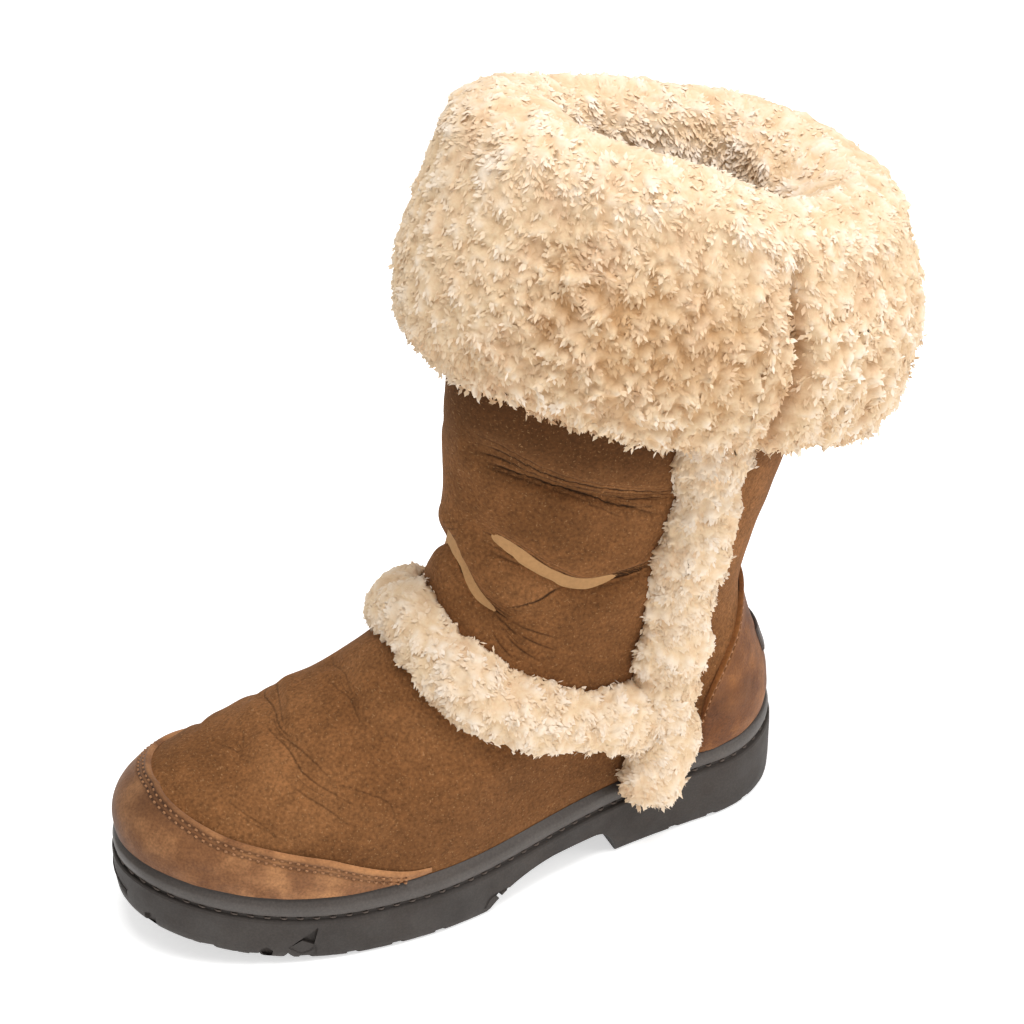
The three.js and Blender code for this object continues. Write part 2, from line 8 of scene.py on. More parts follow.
import bpy
import numpy as np
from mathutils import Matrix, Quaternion, Vector


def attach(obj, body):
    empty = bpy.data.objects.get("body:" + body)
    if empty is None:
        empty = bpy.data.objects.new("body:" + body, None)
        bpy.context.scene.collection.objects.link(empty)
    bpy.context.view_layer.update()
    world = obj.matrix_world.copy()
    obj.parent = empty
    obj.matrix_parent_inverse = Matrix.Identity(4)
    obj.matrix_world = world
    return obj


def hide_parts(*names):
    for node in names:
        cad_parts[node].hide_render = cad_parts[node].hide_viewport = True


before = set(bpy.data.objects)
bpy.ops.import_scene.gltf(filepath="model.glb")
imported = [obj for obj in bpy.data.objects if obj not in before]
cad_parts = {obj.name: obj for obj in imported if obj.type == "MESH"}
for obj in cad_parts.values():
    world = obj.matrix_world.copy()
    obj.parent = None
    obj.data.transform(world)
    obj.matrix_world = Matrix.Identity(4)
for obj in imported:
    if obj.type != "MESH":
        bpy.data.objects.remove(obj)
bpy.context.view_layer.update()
bpy.ops.object.select_all(action="DESELECT")


# Studio: a pale floor, one broad soft light above the boot, a weaker one behind the heel and a faint
# one beyond the camera, in an even white room. The camera looks down on the outer side and the toe.
FLOOR_SIZE = 6.0
CAMERA_AT = Vector((0.4165, 0.7856, 0.7225))
CAMERA_AIM = Vector((0.0523, -0.0372, 0.1258))
CAMERA_ROLL = math.radians(-1.55)
CAMERA_LENS = 93.5
ROOM_LIGHT = 0.4
LAMPS = [
    # name, place, size, watts
    ("key_light", Vector((0.05, 0.25, 1.6)), 0.9, 19),
    ("heel_light", Vector((-1.1, 0.7, 0.9)), 0.9, 8),
    ("fill_light", Vector((0.6, 1.4, 0.6)), 1.2, 2),
]


def srgb(red, green, blue):
    """Colour of a paint card, 0 to 255 a channel, as linear RGBA."""
    card = np.array([red, green, blue]) / 255
    linear = np.where(card <= 0.04045, card / 12.92, ((card + 0.055) / 1.055) ** 2.4)
    return (*linear.tolist(), 1.0)


def set_sockets(material, node, inputs):
    for name, value in inputs.items():
        if isinstance(value, bpy.types.NodeSocket):
            material.node_tree.links.new(value, node.inputs[name])
        else:
            node.inputs[name].default_value = value


def new_finish(name, **inputs):
    """A node material with the shader's own sockets set, and its shader node."""
    material = bpy.data.materials.new(name)
    material.use_nodes = True
    shader = material.node_tree.nodes["Principled BSDF"]
    set_sockets(material, shader, {key.replace("_", " "): value for key, value in inputs.items()})
    return material, shader


def grey(level):
    return (level, level, level, 1.0)


bpy.ops.mesh.primitive_plane_add(size=FLOOR_SIZE)
floor = bpy.context.object
floor.name = "floor"
paper, _ = new_finish("studio_paper", Base_Color=srgb(246, 246, 245), Roughness=0.9,
                      Emission_Color=grey(1.0), Emission_Strength=0.55)
floor.data.materials.append(paper)

world = bpy.data.worlds.new("studio_room")
world.use_nodes = True
world.node_tree.nodes["Background"].inputs["Color"].default_value = (1, 1, 1, 1)
world.node_tree.nodes["Background"].inputs["Strength"].default_value = ROOM_LIGHT
bpy.context.scene.world = world
bpy.context.scene.view_settings.view_transform = "Standard"

for lamp_name, lamp_at, lamp_size, watts in LAMPS:
    bpy.ops.object.light_add(type="AREA", location=lamp_at)
    lamp = bpy.context.object
    lamp.name = lamp_name
    lamp.rotation_euler = (CAMERA_AIM - lamp_at).to_track_quat("-Z", "Y").to_euler()
    lamp.data.size = lamp_size
    lamp.data.energy = watts

bpy.ops.object.camera_add(location=CAMERA_AT)
camera = bpy.context.object
camera.rotation_mode = "QUATERNION"
looking = (CAMERA_AIM - CAMERA_AT).to_track_quat("-Z", "Y")
camera.rotation_quaternion = looking @ Quaternion((0, 0, 1), CAMERA_ROLL)
camera.data.lens = CAMERA_LENS
bpy.context.scene.camera = camera


# Upper: two sheepskin quarters and a vamp, flesh side out, sewn to one hollow shaft and foot.
# The suede is 3 mm thick with its fleece inside, and has slumped into folds at the ankle.
LENGTH = 285
HEEL_CENTRE = 45
WALL = 3
HEEL_THICK, BALL_THICK = 28, 21
THIN_FROM, THIN_TO = 0.15 * LENGTH, 0.62 * LENGTH
TOE_SPRING, SPRING_FROM = 18, 0.7
HEEL_RISE = 4
FEATHER = 2.3
BALL_STAGGER, NOSE_STAGGER, WAIST_STAGGER = 0.03, 0.25, 0.45
TOE_SWING, SWING_FROM = -5, 0.45


def ease(x, low, high):
    share = np.clip((x - low) / (high - low), 0, 1)
    return share * share * (3 - 2 * share)


def spring(x):
    return TOE_SPRING * np.clip((x / LENGTH - SPRING_FROM) / (1 - SPRING_FROM), 0, None) ** 2


def sole_line(x):
    """Height of the line between outsole and rand."""
    thickness = HEEL_THICK + (BALL_THICK - HEEL_THICK) * ease(x, THIN_FROM, THIN_TO)
    return thickness + spring(x) + HEEL_RISE * np.clip(1 - x / THIN_FROM, 0, 1.2) ** 2


# Columns: backX backZ frontX frontZ follow heelAt heelHalf ballAt ballHalf waist nose skew
RINGS = np.array([
    [6, sole_line(6) + FEATHER, 279, sole_line(279) + FEATHER, 1, 0.15, 32, 0.66, 48.5, 4.5, 2.3, 1],
    [4, 44, 281, 54, 1, 0.15, 34.5, 0.66, 50, 4.5, 2.35, 1],
    [5, 56, 276, 63, 0.8, 0.16, 35.5, 0.65, 49, 4, 2.35, 1],
    [8, 66, 261, 70, 0.5, 0.18, 36, 0.6, 46.5, 3, 2.25, 0.8],
    [11, 75, 237, 76, 0.2, 0.21, 36.5, 0.54, 44, 1, 2.1, 0.5],
    [14, 85, 207, 85, 0, 0.26, 36.5, 0.52, 42.5, 0, 2.05, 0.3],
    [16, 96, 177, 99, 0, 0.32, 37, 0.52, 41.5, 0, 2, 0.1],
    [15, 110, 153, 120, 0, 0.38, 38, 0.52, 41, 0, 2, 0],
    [8, 130, 142, 147, 0, 0.42, 39, 0.52, 41, 0, 2, 0],
    [-2, 153, 140, 176, 0, 0.44, 40, 0.52, 41.5, 0, 2, 0],
    [-13, 180, 138, 206, 0, 0.45, 41, 0.52, 42, 0, 2, 0],
    [-26, 216, 129, 255, 0, 0.45, 42, 0.52, 43, 0, 2, 0],
    [-28, 247, 118, 305, 0, 0.45, 42, 0.52, 43, 0, 2, 0],
])
TOP_LEVEL = len(RINGS) - 1


def ring_at(level):
    """Rows of the ring table blended smoothly at any level."""
    level = np.asarray(level, float)
    row = np.clip(np.floor(level).astype(int), 0, TOP_LEVEL - 1)
    t = (level - row)[..., None]
    start, end = RINGS[row], RINGS[row + 1]
    before = np.where((row == 0)[..., None], 2 * start - end, RINGS[np.maximum(row - 1, 0)])
    after = np.where((row == TOP_LEVEL - 1)[..., None], 2 * end - start,
                     RINGS[np.minimum(row + 2, TOP_LEVEL)])
    rise, fall = (end - before) / 2, (after - start) / 2
    bend = 2 * (start - end) + rise + fall
    return start + t * (rise + t * (3 * (end - start) - 2 * rise - fall + t * bend))


def half_width(ring, share, side):
    heel_at, heel_half, ball_at, ball_half, waist, nose, skew = np.moveaxis(ring[..., 5:], -1, 0)
    ball_at = ball_at - side * BALL_STAGGER * skew
    nose = nose - side * NOSE_STAGGER * skew
    ahead = np.clip((share - ball_at) / (1 - ball_at), 0, 1)
    front = ball_half * np.sqrt(1 - ahead ** nose)
    behind = np.clip((heel_at - share) / heel_at, 0, 1)
    back = heel_half * np.sqrt(1 - behind ** 2)
    k = np.clip((share - heel_at) / (ball_at - heel_at), 0, 1)
    pinch = waist * (1 - side * WAIST_STAGGER) * np.sin(np.pi * k) ** 2
    middle = heel_half + (ball_half - heel_half) * k * k * (3 - 2 * k) - pinch
    return np.where(share >= ball_at, front, np.where(share < heel_at, back, middle))


def ring_point(ring, turn):
    """Point of a ring: turn 0 is the back, 0.25 the outer side, 0.5 the front, 0.75 the inner side."""
    around = np.mod(turn, 1.0)
    side = np.where(around <= 0.5, 1.0, -1.0)
    share = 0.5 - 0.5 * np.cos(2 * np.pi * around)
    back_x, back_z, front_x, front_z, follow = np.moveaxis(ring[..., :5], -1, 0)
    x = back_x + (front_x - back_x) * share
    y = side * half_width(ring, share, side) + TOE_SWING * ring[..., 11] * ease(share, SWING_FROM, 1)
    straight = sole_line(back_x) + (sole_line(front_x) - sole_line(back_x)) * share
    z = back_z + (front_z - back_z) * share + follow * (sole_line(x) - straight)
    return np.stack([x, y, z], -1)


def upper_point(level, turn):
    level, turn = np.broadcast_arrays(np.asarray(level, float), np.asarray(turn, float))
    return ring_point(ring_at(level), turn)


def unit(vectors):
    return vectors / (np.linalg.norm(vectors, axis=-1, keepdims=True) + 1e-12)


def along_level(level, turn, step=0.01):
    """Millimetres moved for a unit of level, as a vector."""
    low, high = np.maximum(level - step, 0), np.minimum(level + step, TOP_LEVEL)
    return (upper_point(high, turn) - upper_point(low, turn)) / (high - low)[..., None]


def along_turn(level, turn, step=0.001):
    return (upper_point(level, turn + step) - upper_point(level, turn - step)) / (2 * step)


def upper_normal(level, turn):
    level, turn = np.broadcast_arrays(np.asarray(level, float), np.asarray(turn, float))
    return unit(np.cross(along_level(level, turn), along_turn(level, turn)))


def off_upper(level, turn, out):
    out = np.asarray(out, float)
    return upper_point(level, turn) + upper_normal(level, turn) * out[..., None]


def to_frame(points):
    return (points - np.array([HEEL_CENTRE, 0, 0])) / 1000


def tag(piece, name, values):
    """A number for each vertex, which the piece's material reads."""
    attribute = piece.data.attributes.new(name, "FLOAT", "POINT")
    attribute.data.foreach_set("value", np.asarray(values, np.float32).ravel())


def smooth(piece, angle):
    """Smooth shading. Edges sharper than an angle, where one is given, stay sharp."""
    piece.select_set(True)
    bpy.context.view_layer.objects.active = piece
    if angle is None:
        bpy.ops.object.shade_smooth()
    else:
        bpy.ops.object.shade_smooth_by_angle(angle=math.radians(angle))
    piece.select_set(False)


def lay_grid(name, points, angle=None, **tags):
    """A grid primitive laid on rows of points. Rows or columns that meet are merged to one skin."""
    rows, columns = points.shape[:2]
    bpy.ops.mesh.primitive_grid_add(x_subdivisions=columns - 1, y_subdivisions=rows - 1)
    piece = bpy.context.object
    piece.name = piece.data.name = name
    piece.data.vertices.foreach_set("co", to_frame(points).astype(np.float32).ravel())
    for tag_name, values in tags.items():
        tag(piece, tag_name, values)
    bpy.ops.object.mode_set(mode="EDIT")
    bpy.ops.mesh.select_all(action="SELECT")
    bpy.ops.mesh.remove_doubles(threshold=1e-6)
    bpy.ops.mesh.normals_make_consistent(inside=False)
    bpy.ops.object.mode_set(mode="OBJECT")
    smooth(piece, angle)
    return piece


def settle(piece, material, slot, *nodes):
    """Gives a finished piece its material and its body, and hides the nodes it stands for. The slot is not
    used.
    """
    piece.data.materials.append(material)
    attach(piece, "root")
    if nodes:
        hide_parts(*nodes)


def scramble(cells, seed):
    """A number from 0 to 1 for each cell of a lattice, always the same for the same cell."""
    mixed_bits = cells[..., 0] * 73856093 ^ cells[..., 1] * 19349663 ^ cells[..., 2] * 83492791
    value = np.sin(((mixed_bits + seed * 7919) % 100003) * 12.9898) * 43758.5453
    return value - np.floor(value)


def ripple(points, size, seed=0):
    """Smooth random relief from -1 to 1, with hills of a size in millimetres."""
    place = points / size
    cell = np.floor(place).astype(np.int64)
    t = place - cell
    t = t * t * (3 - 2 * t)
    total = 0
    for corner in np.ndindex(2, 2, 2):
        step = np.array(corner)
        weight = np.prod(np.where(step == 1, t, 1 - t), axis=-1)
        total = total + weight * scramble(cell + step, seed)
    return 2 * total - 1


# Each fold: path of (turn, level) points, half width, depth and strength of its pressed line, which is
# drawn with painted shade
FOLDS = [
    ([(0.47, 9.75), (0.41, 9.7), (0.325, 9.38), (0.23, 9.2)], 7, 2.8, 0),
    ([(0.46, 8.5), (0.39, 8.25), (0.31, 7.8), (0.24, 8.1)], 7, 4.2, 0),
    ([(0.54, 7.95), (0.47, 7.85), (0.42, 7.5), (0.36, 7.15)], 6, 3.8, 0),
    ([(0.55, 5.45), (0.478, 5.58), (0.426, 5.3), (0.38, 4.9)], 6, 0.8, 0),
    ([(0.55, 4.5), (0.472, 4.62), (0.429, 4.38), (0.371, 3.68), (0.33, 3.0)], 5, 0.8, 0),
    ([(0.41, 3.95), (0.361, 3.23), (0.33, 2.5)], 5, 0.7, 0),
    ([(0.443, 9.68), (0.41, 9.66), (0.365, 9.5), (0.324, 9.38), (0.282, 9.28), (0.24, 9.24)],
     1.3, 1.0, 0.9),
    ([(0.431, 9.53), (0.397, 9.46), (0.339, 9.28), (0.286, 8.95)], 1.2, 0.7, 0.6),
    ([(0.43, 9.6), (0.38, 9.47), (0.33, 9.3), (0.29, 9.12), (0.26, 9.08)], 1.0, 0.6, 0.6),
    ([(0.4, 9.58), (0.36, 9.42), (0.315, 9.29), (0.25, 9.16)], 1.0, 0.5, 0.55),
    ([(0.33, 9.32), (0.301, 9.2), (0.279, 9.08), (0.255, 8.95)], 1.0, 0.55, 0.5),
    ([(0.438, 8.47), (0.389, 8.27), (0.346, 8.0), (0.308, 7.83), (0.269, 7.93), (0.245, 8.08)],
     1.5, 1.4, 1.0),
    ([(0.424, 8.22), (0.39, 8.1), (0.365, 8.02), (0.31, 7.78)], 1.1, 0.7, 0.6),
    ([(0.415, 8.42), (0.38, 8.2), (0.34, 7.92), (0.3, 7.77)], 1.0, 0.6, 0.55),
    ([(0.345, 8.07), (0.31, 7.89), (0.275, 8.02), (0.25, 8.16)], 1.0, 0.6, 0.5),
    ([(0.3, 7.84), (0.336, 7.77), (0.354, 7.62), (0.39, 7.43)], 1.2, 0.8, 0.6),
    ([(0.53, 8.15), (0.5, 8.03), (0.471, 7.88), (0.424, 7.53), (0.37, 7.3)], 1.4, 1.2, 0.9),
    ([(0.48, 7.85), (0.445, 7.62), (0.41, 7.42), (0.37, 7.22)], 1.1, 0.7, 0.6),
    ([(0.45, 7.65), (0.424, 7.45), (0.394, 7.3), (0.345, 6.92)], 1.2, 0.8, 0.6),
    ([(0.372, 7.24), (0.345, 7.12), (0.315, 6.97)], 0.9, 0.45, 0.35),
    ([(0.366, 7.12), (0.34, 6.93), (0.308, 6.72)], 0.9, 0.45, 0.35),
    ([(0.374, 7.06), (0.35, 6.82), (0.316, 6.52)], 0.9, 0.45, 0.35),
    ([(0.39, 7.1), (0.372, 6.88), (0.345, 6.6)], 0.9, 0.4, 0.3),
    ([(0.53, 4.6), (0.472, 4.62), (0.429, 4.38), (0.371, 3.68), (0.34, 3.15)], 1.8, 0.8, 0.3),
    ([(0.52, 4.68), (0.457, 4.66), (0.408, 4.36), (0.365, 3.78)], 1.5, 0.7, 0.25),
    ([(0.55, 5.45), (0.478, 5.58), (0.426, 5.3), (0.4, 5.12)], 2.0, 0.7, 0.2),
    ([(0.535, 3.85), (0.5, 4.12), (0.465, 4.2)], 2.0, 0.6, 0.2),
    ([(0.415, 3.0), (0.388, 2.65), (0.366, 2.3)], 1.6, 0.6, 0.2),
    ([(0.43, 3.25), (0.393, 2.8), (0.373, 2.42)], 1.6, 0.6, 0.2),
    ([(0.41, 3.95), (0.361, 3.23), (0.33, 2.5)], 1.8, 0.7, 0.25),
    ([(0.39, 4.1), (0.326, 3.23), (0.306, 2.3)], 2.0, 0.6, 0.2),
]
# A deep crease has finer ones beside it, which run together at its end: shift in levels, share of it
DEEP_LINE = 0.9
BESIDE_DEEP = [(-0.13, 0.55), (0.11, 0.6), (0.22, 0.45)]
for path, half, depth, line_strength in [fold for fold in FOLDS if fold[3] >= DEEP_LINE]:
    closing = np.linspace(1, 0.4, len(path))
    for shift, share in BESIDE_DEEP:
        beside = [(turn, level + shift * part) for (turn, level), part in zip(path, closing)]
        FOLDS.append((beside, 0.8 * half, share * depth, share * line_strength))
INNER_SIDE_SHIFT = 0.12
RIDGE_ABOVE, RIDGE_BELOW = 0.5, 0.3
BROAD_FOLD = 4
FINE_WIDTH = 1.7
# A crease is also a pressed line, drawn with painted shade in its middle and paler at its sides: its
# distance and its strength are tags, on three sets of lines
LINE_SETS = 3
LINE_REACH = 5.0
LINE_PROFILE = [(0.3, grey(0.5)), (0.42, grey(0.6)), (0.465, grey(0.3)), (0.5, grey(0.06)),
                (0.535, grey(0.32)), (0.58, grey(0.62)), (0.7, grey(0.5))]


def smooth_path(rows, count):
    """Points along a smooth curve through rows of numbers, evenly spaced between the rows."""
    rows = np.asarray(rows, float)
    ends = np.concatenate([[2 * rows[0] - rows[1]], rows, [2 * rows[-1] - rows[-2]]])
    place = np.linspace(0, len(rows) - 1, count)
    span = np.minimum(place.astype(int), len(rows) - 2)
    t = (place - span)[:, None]
    p0, p1, p2, p3 = (ends[span + k] for k in range(4))
    return 0.5 * (2 * p1 + t * (p2 - p0 + t * (2 * p0 - 5 * p1 + 4 * p2 - p3
                                               + t * (3 * (p1 - p2) + p3 - p0))))


def inner_side(path, lift=0.0):
    """A path of (turn, level) points on the outer side, carried over to the inner side."""
    return [(1 - turn, level + lift) for turn, level in path]


def beside_fold(points, path, width, samples=60):
    """Points near a fold, as a mask, their distance uphill of it and how far it has faded there."""
    turn, level = smooth_path(path, samples).T
    line = upper_point(level, turn)
    uphill = unit(along_level(level, turn))
    reach = 5 * width + LINE_REACH
    near = np.all((points > line.min(0) - reach) & (points < line.max(0) + reach), axis=-1)
    gaps = points[near][:, None] - line[None]
    distance = np.linalg.norm(gaps, axis=-1)
    nearest = distance.argmin(1)
    span = np.take_along_axis(distance, nearest[:, None], 1)[:, 0]
    rise = np.einsum("ij,ij->i", gaps[np.arange(len(nearest)), nearest], uphill[nearest])
    share = nearest / (samples - 1)
    return near, span * np.sign(rise), np.clip(4 * share * (1 - share), 0, 1) ** 0.7


def fold_shape(across):
    """Section of a fold, in its half widths: a soft trough with a ridge on each side."""
    above = RIDGE_ABOVE * np.exp(-((across - 1.7) / 1.2) ** 2)
    below = RIDGE_BELOW * np.exp(-((across + 1.7) / 1.2) ** 2)
    return above + below - np.exp(-across ** 2)


def add_node(material, kind, inputs, **settings):
    """A node in a material: its settings, and its sockets set to values or linked to other sockets."""
    node = material.node_tree.nodes.new(kind)
    for name, value in settings.items():
        setattr(node, name, value)
    set_sockets(material, node, inputs)
    return node


def read_tag(material, name):
    return add_node(material, "ShaderNodeAttribute", {}, attribute_name=name).outputs["Fac"]


def noise(material, size, detail, stretch=(1, 1, 1)):
    """Noise with features of a size in millimetres on the piece itself."""
    coords = add_node(material, "ShaderNodeTexCoord", {})
    turned = add_node(material, "ShaderNodeMapping", {
        "Vector": coords.outputs["Object"], "Scale": stretch})
    texture = add_node(material, "ShaderNodeTexNoise", {
        "Vector": turned.outputs["Vector"], "Scale": 1000.0 / size, "Detail": detail})
    return texture.outputs["Fac"]


def ramp(material, factor, stops, blend="LINEAR"):
    """Colours along a factor: rows of position and colour."""
    node = add_node(material, "ShaderNodeValToRGB", {"Fac": factor})
    node.color_ramp.interpolation = blend
    elements = node.color_ramp.elements
    while len(elements) < len(stops):
        elements.new(0.5)
    for element, (position, colour) in zip(elements, stops):
        element.position = position
        element.color = colour
    return node.outputs["Color"]


def mixed(material, factor, first, second, blend="MIX"):
    node = add_node(material, "ShaderNodeMix", {0: factor, 6: first, 7: second},
                    data_type="RGBA", blend_type=blend)
    return node.outputs[2]


def speckle(material, colour, pattern, dark, light):
    """A colour made darker and lighter over itself: 0.5 leaves it as it is, 0.25 halves it."""
    shade = ramp(material, pattern, [(0.3, grey(dark)), (0.5, grey(0.5)), (0.7, grey(light))])
    return mixed(material, 1.0, colour, shade, "OVERLAY")


def bump(material, height, distance, strength, below=None):
    """Normals of a height, in millimetres, on top of another bump where one is given."""
    inputs = {"Height": height, "Distance": distance / 1000, "Strength": strength}
    if below:
        inputs["Normal"] = below
    return add_node(material, "ShaderNodeBump", inputs).outputs["Normal"]


def crackle(material, size):
    """Fine wrinkles between cells of a size: 0 in the wrinkle, 1 on the cell."""
    coords = add_node(material, "ShaderNodeTexCoord", {})
    cells = add_node(material, "ShaderNodeTexVoronoi", {
        "Vector": coords.outputs["Object"], "Scale": 1000.0 / size}, feature="DISTANCE_TO_EDGE")
    return ramp(material, cells.outputs["Distance"], [(0.0, grey(0)), (0.3, grey(1))])


def suede_finish():
    """Brushed suede: chestnut with darker and rubbed patches, a short nap and fine pale fibres."""
    material, shader = new_finish("brushed_suede", Roughness=0.95, Sheen_Weight=0.2, Sheen_Roughness=0.5,
                                  Sheen_Tint=srgb(214, 160, 110), Specular_IOR_Level=0.15)
    patches = ramp(material, noise(material, 38, 4), [
        (0.3, srgb(103, 66, 36)), (0.5, srgb(118, 77, 44)), (0.72, srgb(135, 91, 55))])
    rubbed = mixed(material, read_tag(material, "rub"), patches, srgb(158, 108, 68))
    mottled = speckle(material, rubbed, noise(material, 7, 4, stretch=(1, 1, 1.6)), 0.44, 0.56)
    brushed = speckle(material, mottled, noise(material, 1.3, 4), 0.33, 0.65)
    fibres = ramp(material, noise(material, 0.8, 2, stretch=(1, 0.4, 1)),
                  [(0.62, grey(0)), (0.74, grey(0.4))])
    # Painted shade from the tag: under the cuff and a little along the sole
    shaded = mixed(material, read_tag(material, "dim"), brushed, srgb(58, 34, 15))
    fuzzy = mixed(material, fibres, shaded, srgb(186, 142, 98))
    # Pressed lines of the creases: painted shade in their middle, paler at their sides, and a bump
    pressed = grey(0.5)
    for k in range(LINE_SETS):
        line = ramp(material, read_tag(material, f"line_gap_{k}"), LINE_PROFILE, "EASE")
        pressed = mixed(material, read_tag(material, f"line_power_{k}"), pressed, line)
    colour = speckle(material, fuzzy, pressed, 0.1, 0.64)
    nap = bump(material, noise(material, 0.9, 4), 0.3, 0.6)
    creep = bump(material, noise(material, 4.5, 4), 0.5, 0.45, nap)
    wrinkled = bump(material, crackle(material, 2.2), 0.22, 0.35, creep)
    creased = bump(material, pressed, 1.5, 0.9, wrinkled)
    set_sockets(material, shader, {"Base Color": colour, "Normal": creased})
    return material


UPPER_AROUND = 320
# Painted shade on the suede, by levels: darker under the cuff, where the cuff shades it, and a little
# along the sole
CUFF_SHADE, SHADE_FROM, SHADE_FULL = 0.72, 9.0, 10.3
SOLE_SHADE, SOLE_SHADE_FULL, SOLE_SHADE_END = 0.26, 1.4, 3.8
OUTER_LEVELS = np.concatenate([
    np.linspace(0, 2.2, 22, endpoint=False), np.linspace(2.2, 6.4, 100, endpoint=False),
    np.linspace(6.4, 10, 125, endpoint=False), np.linspace(10, 12, 9)])
# The wall's inner face has every eighth row of the outer one and follows its folds to a depth
INNER_ROWS = slice(None, None, -8)
DEEPEST_INSIDE = 4.5

turns = np.linspace(0, 1, UPPER_AROUND + 1)
outer_level, outer_turn = np.meshgrid(OUTER_LEVELS, turns, indexing="ij")
skin = upper_point(outer_level, outer_turn)
relief = 0.8 * ripple(skin, 26, 1) + 0.3 * ripple(skin, 10, 2)
line_gap = np.full((LINE_SETS, *skin.shape[:-1]), LINE_REACH)
line_power = np.zeros(line_gap.shape)
for number, (fold_path, half, depth, line_strength) in enumerate(FOLDS):
    broad = half > BROAD_FOLD
    width = half if broad else half * FINE_WIDTH
    for side_path in (fold_path, inner_side(fold_path, INNER_SIDE_SHIFT)):
        near, distance, fade = beside_fold(skin, side_path, width)
        relief[near] += depth * fade * fold_shape(distance / width)
        if broad:
            continue
        gap, power = line_gap[number % LINE_SETS], line_power[number % LINE_SETS]
        closer = np.abs(distance) < np.abs(gap[near])
        strength = line_strength * fade * (1 - ease(np.abs(distance), 0.4 * LINE_REACH, 0.8 * LINE_REACH))
        gap[near] = np.where(closer, distance, gap[near])
        power[near] = np.where(closer, strength, power[near])
relief *= ease(outer_level, 0.5, 1.2)
outer_wall = off_upper(outer_level, outer_turn, relief)
inner_relief = np.clip(relief[INNER_ROWS], -DEEPEST_INSIDE, 0)
inner_wall = off_upper(outer_level[INNER_ROWS], outer_turn[INNER_ROWS], inner_relief - WALL)
shell = np.concatenate([outer_wall, inner_wall, outer_wall[:1]])
shell[:, -1] = shell[:, 0]


def over_shell(values, rest):
    """Values of the outer wall's points, with one value for the rest of the shell."""
    return np.concatenate([values, np.full((len(inner_wall) + 1, len(turns)), rest)])


shell_tags = {}
for k in range(LINE_SETS):
    shell_tags[f"line_gap_{k}"] = over_shell(0.5 + line_gap[k] / (2 * LINE_REACH), 1.0)
    shell_tags[f"line_power_{k}"] = over_shell(line_power[k], 0.0)
low_edge = np.exp(-np.clip(outer_level - 0.55, 0, None) / 0.16) * (0.6 + 0.5 * ripple(skin, 9, 3))
shell_tags["rub"] = over_shell(np.clip(0.5 * low_edge, 0, 0.8), 0.0)
sole_shade = SOLE_SHADE * (1 - ease(outer_level, SOLE_SHADE_FULL, SOLE_SHADE_END))
# Tag of painted shade: under the cuff and a little along the sole
shell_tags["dim"] = over_shell(CUFF_SHADE * ease(outer_level, SHADE_FROM, SHADE_FULL) + sole_shade, 0.0)
upper = lay_grid("upper_suede", shell, **shell_tags)
settle(upper, suede_finish(), "suede", "upper")


# Toe cap: a nubuck half moon lasted over the toe. Its upper edge is turned under and lies on the
# vamp as a raised bead, held by two rows of stitches.
TOE_CAP_EDGE = [(0.286, 0.75), (0.3, 0.9), (0.328, 1.55), (0.342, 1.8), (0.372, 2.08), (0.399, 2.27),
                (0.432, 2.53), (0.461, 2.7), (0.5, 2.84)]
PANEL_LOW = 0.55
PANEL_BACK, PANEL_THIN = 0.1, 0.15
# Half width of the painted shade in a panel's seam troughs, and its strength
SEAM_HALF, SEAM_SHADE = 0.8, 0.55
# Height of a panel's face over the upper, by distance from its edge
PANEL_SECTION = [(0, 0.2), (0.35, 1.5), (1.0, 2.25), (1.8, 2.3), (2.8, 1.75), (3.8, 2.05), (5.2, 1.75),
                 (6.4, 2.1), (9, 2.0)]


def from_back(turn):
    around = np.mod(turn, 1.0)
    return np.minimum(around, 1 - around)


def edge_level(edge, turn):
    """Level of a panel's edge, smoothed through the rows of its table."""
    rows = smooth_path(edge, 200)
    return np.interp(from_back(turn), rows[:, 0], rows[:, 1])


def panel_place(edge, turn, distance):
    """Level at a distance below a panel's edge, measured on the upper."""
    top = edge_level(edge, turn)
    step = np.linalg.norm(along_level(top, turn), axis=-1)
    return np.maximum(top - distance / step, PANEL_LOW)


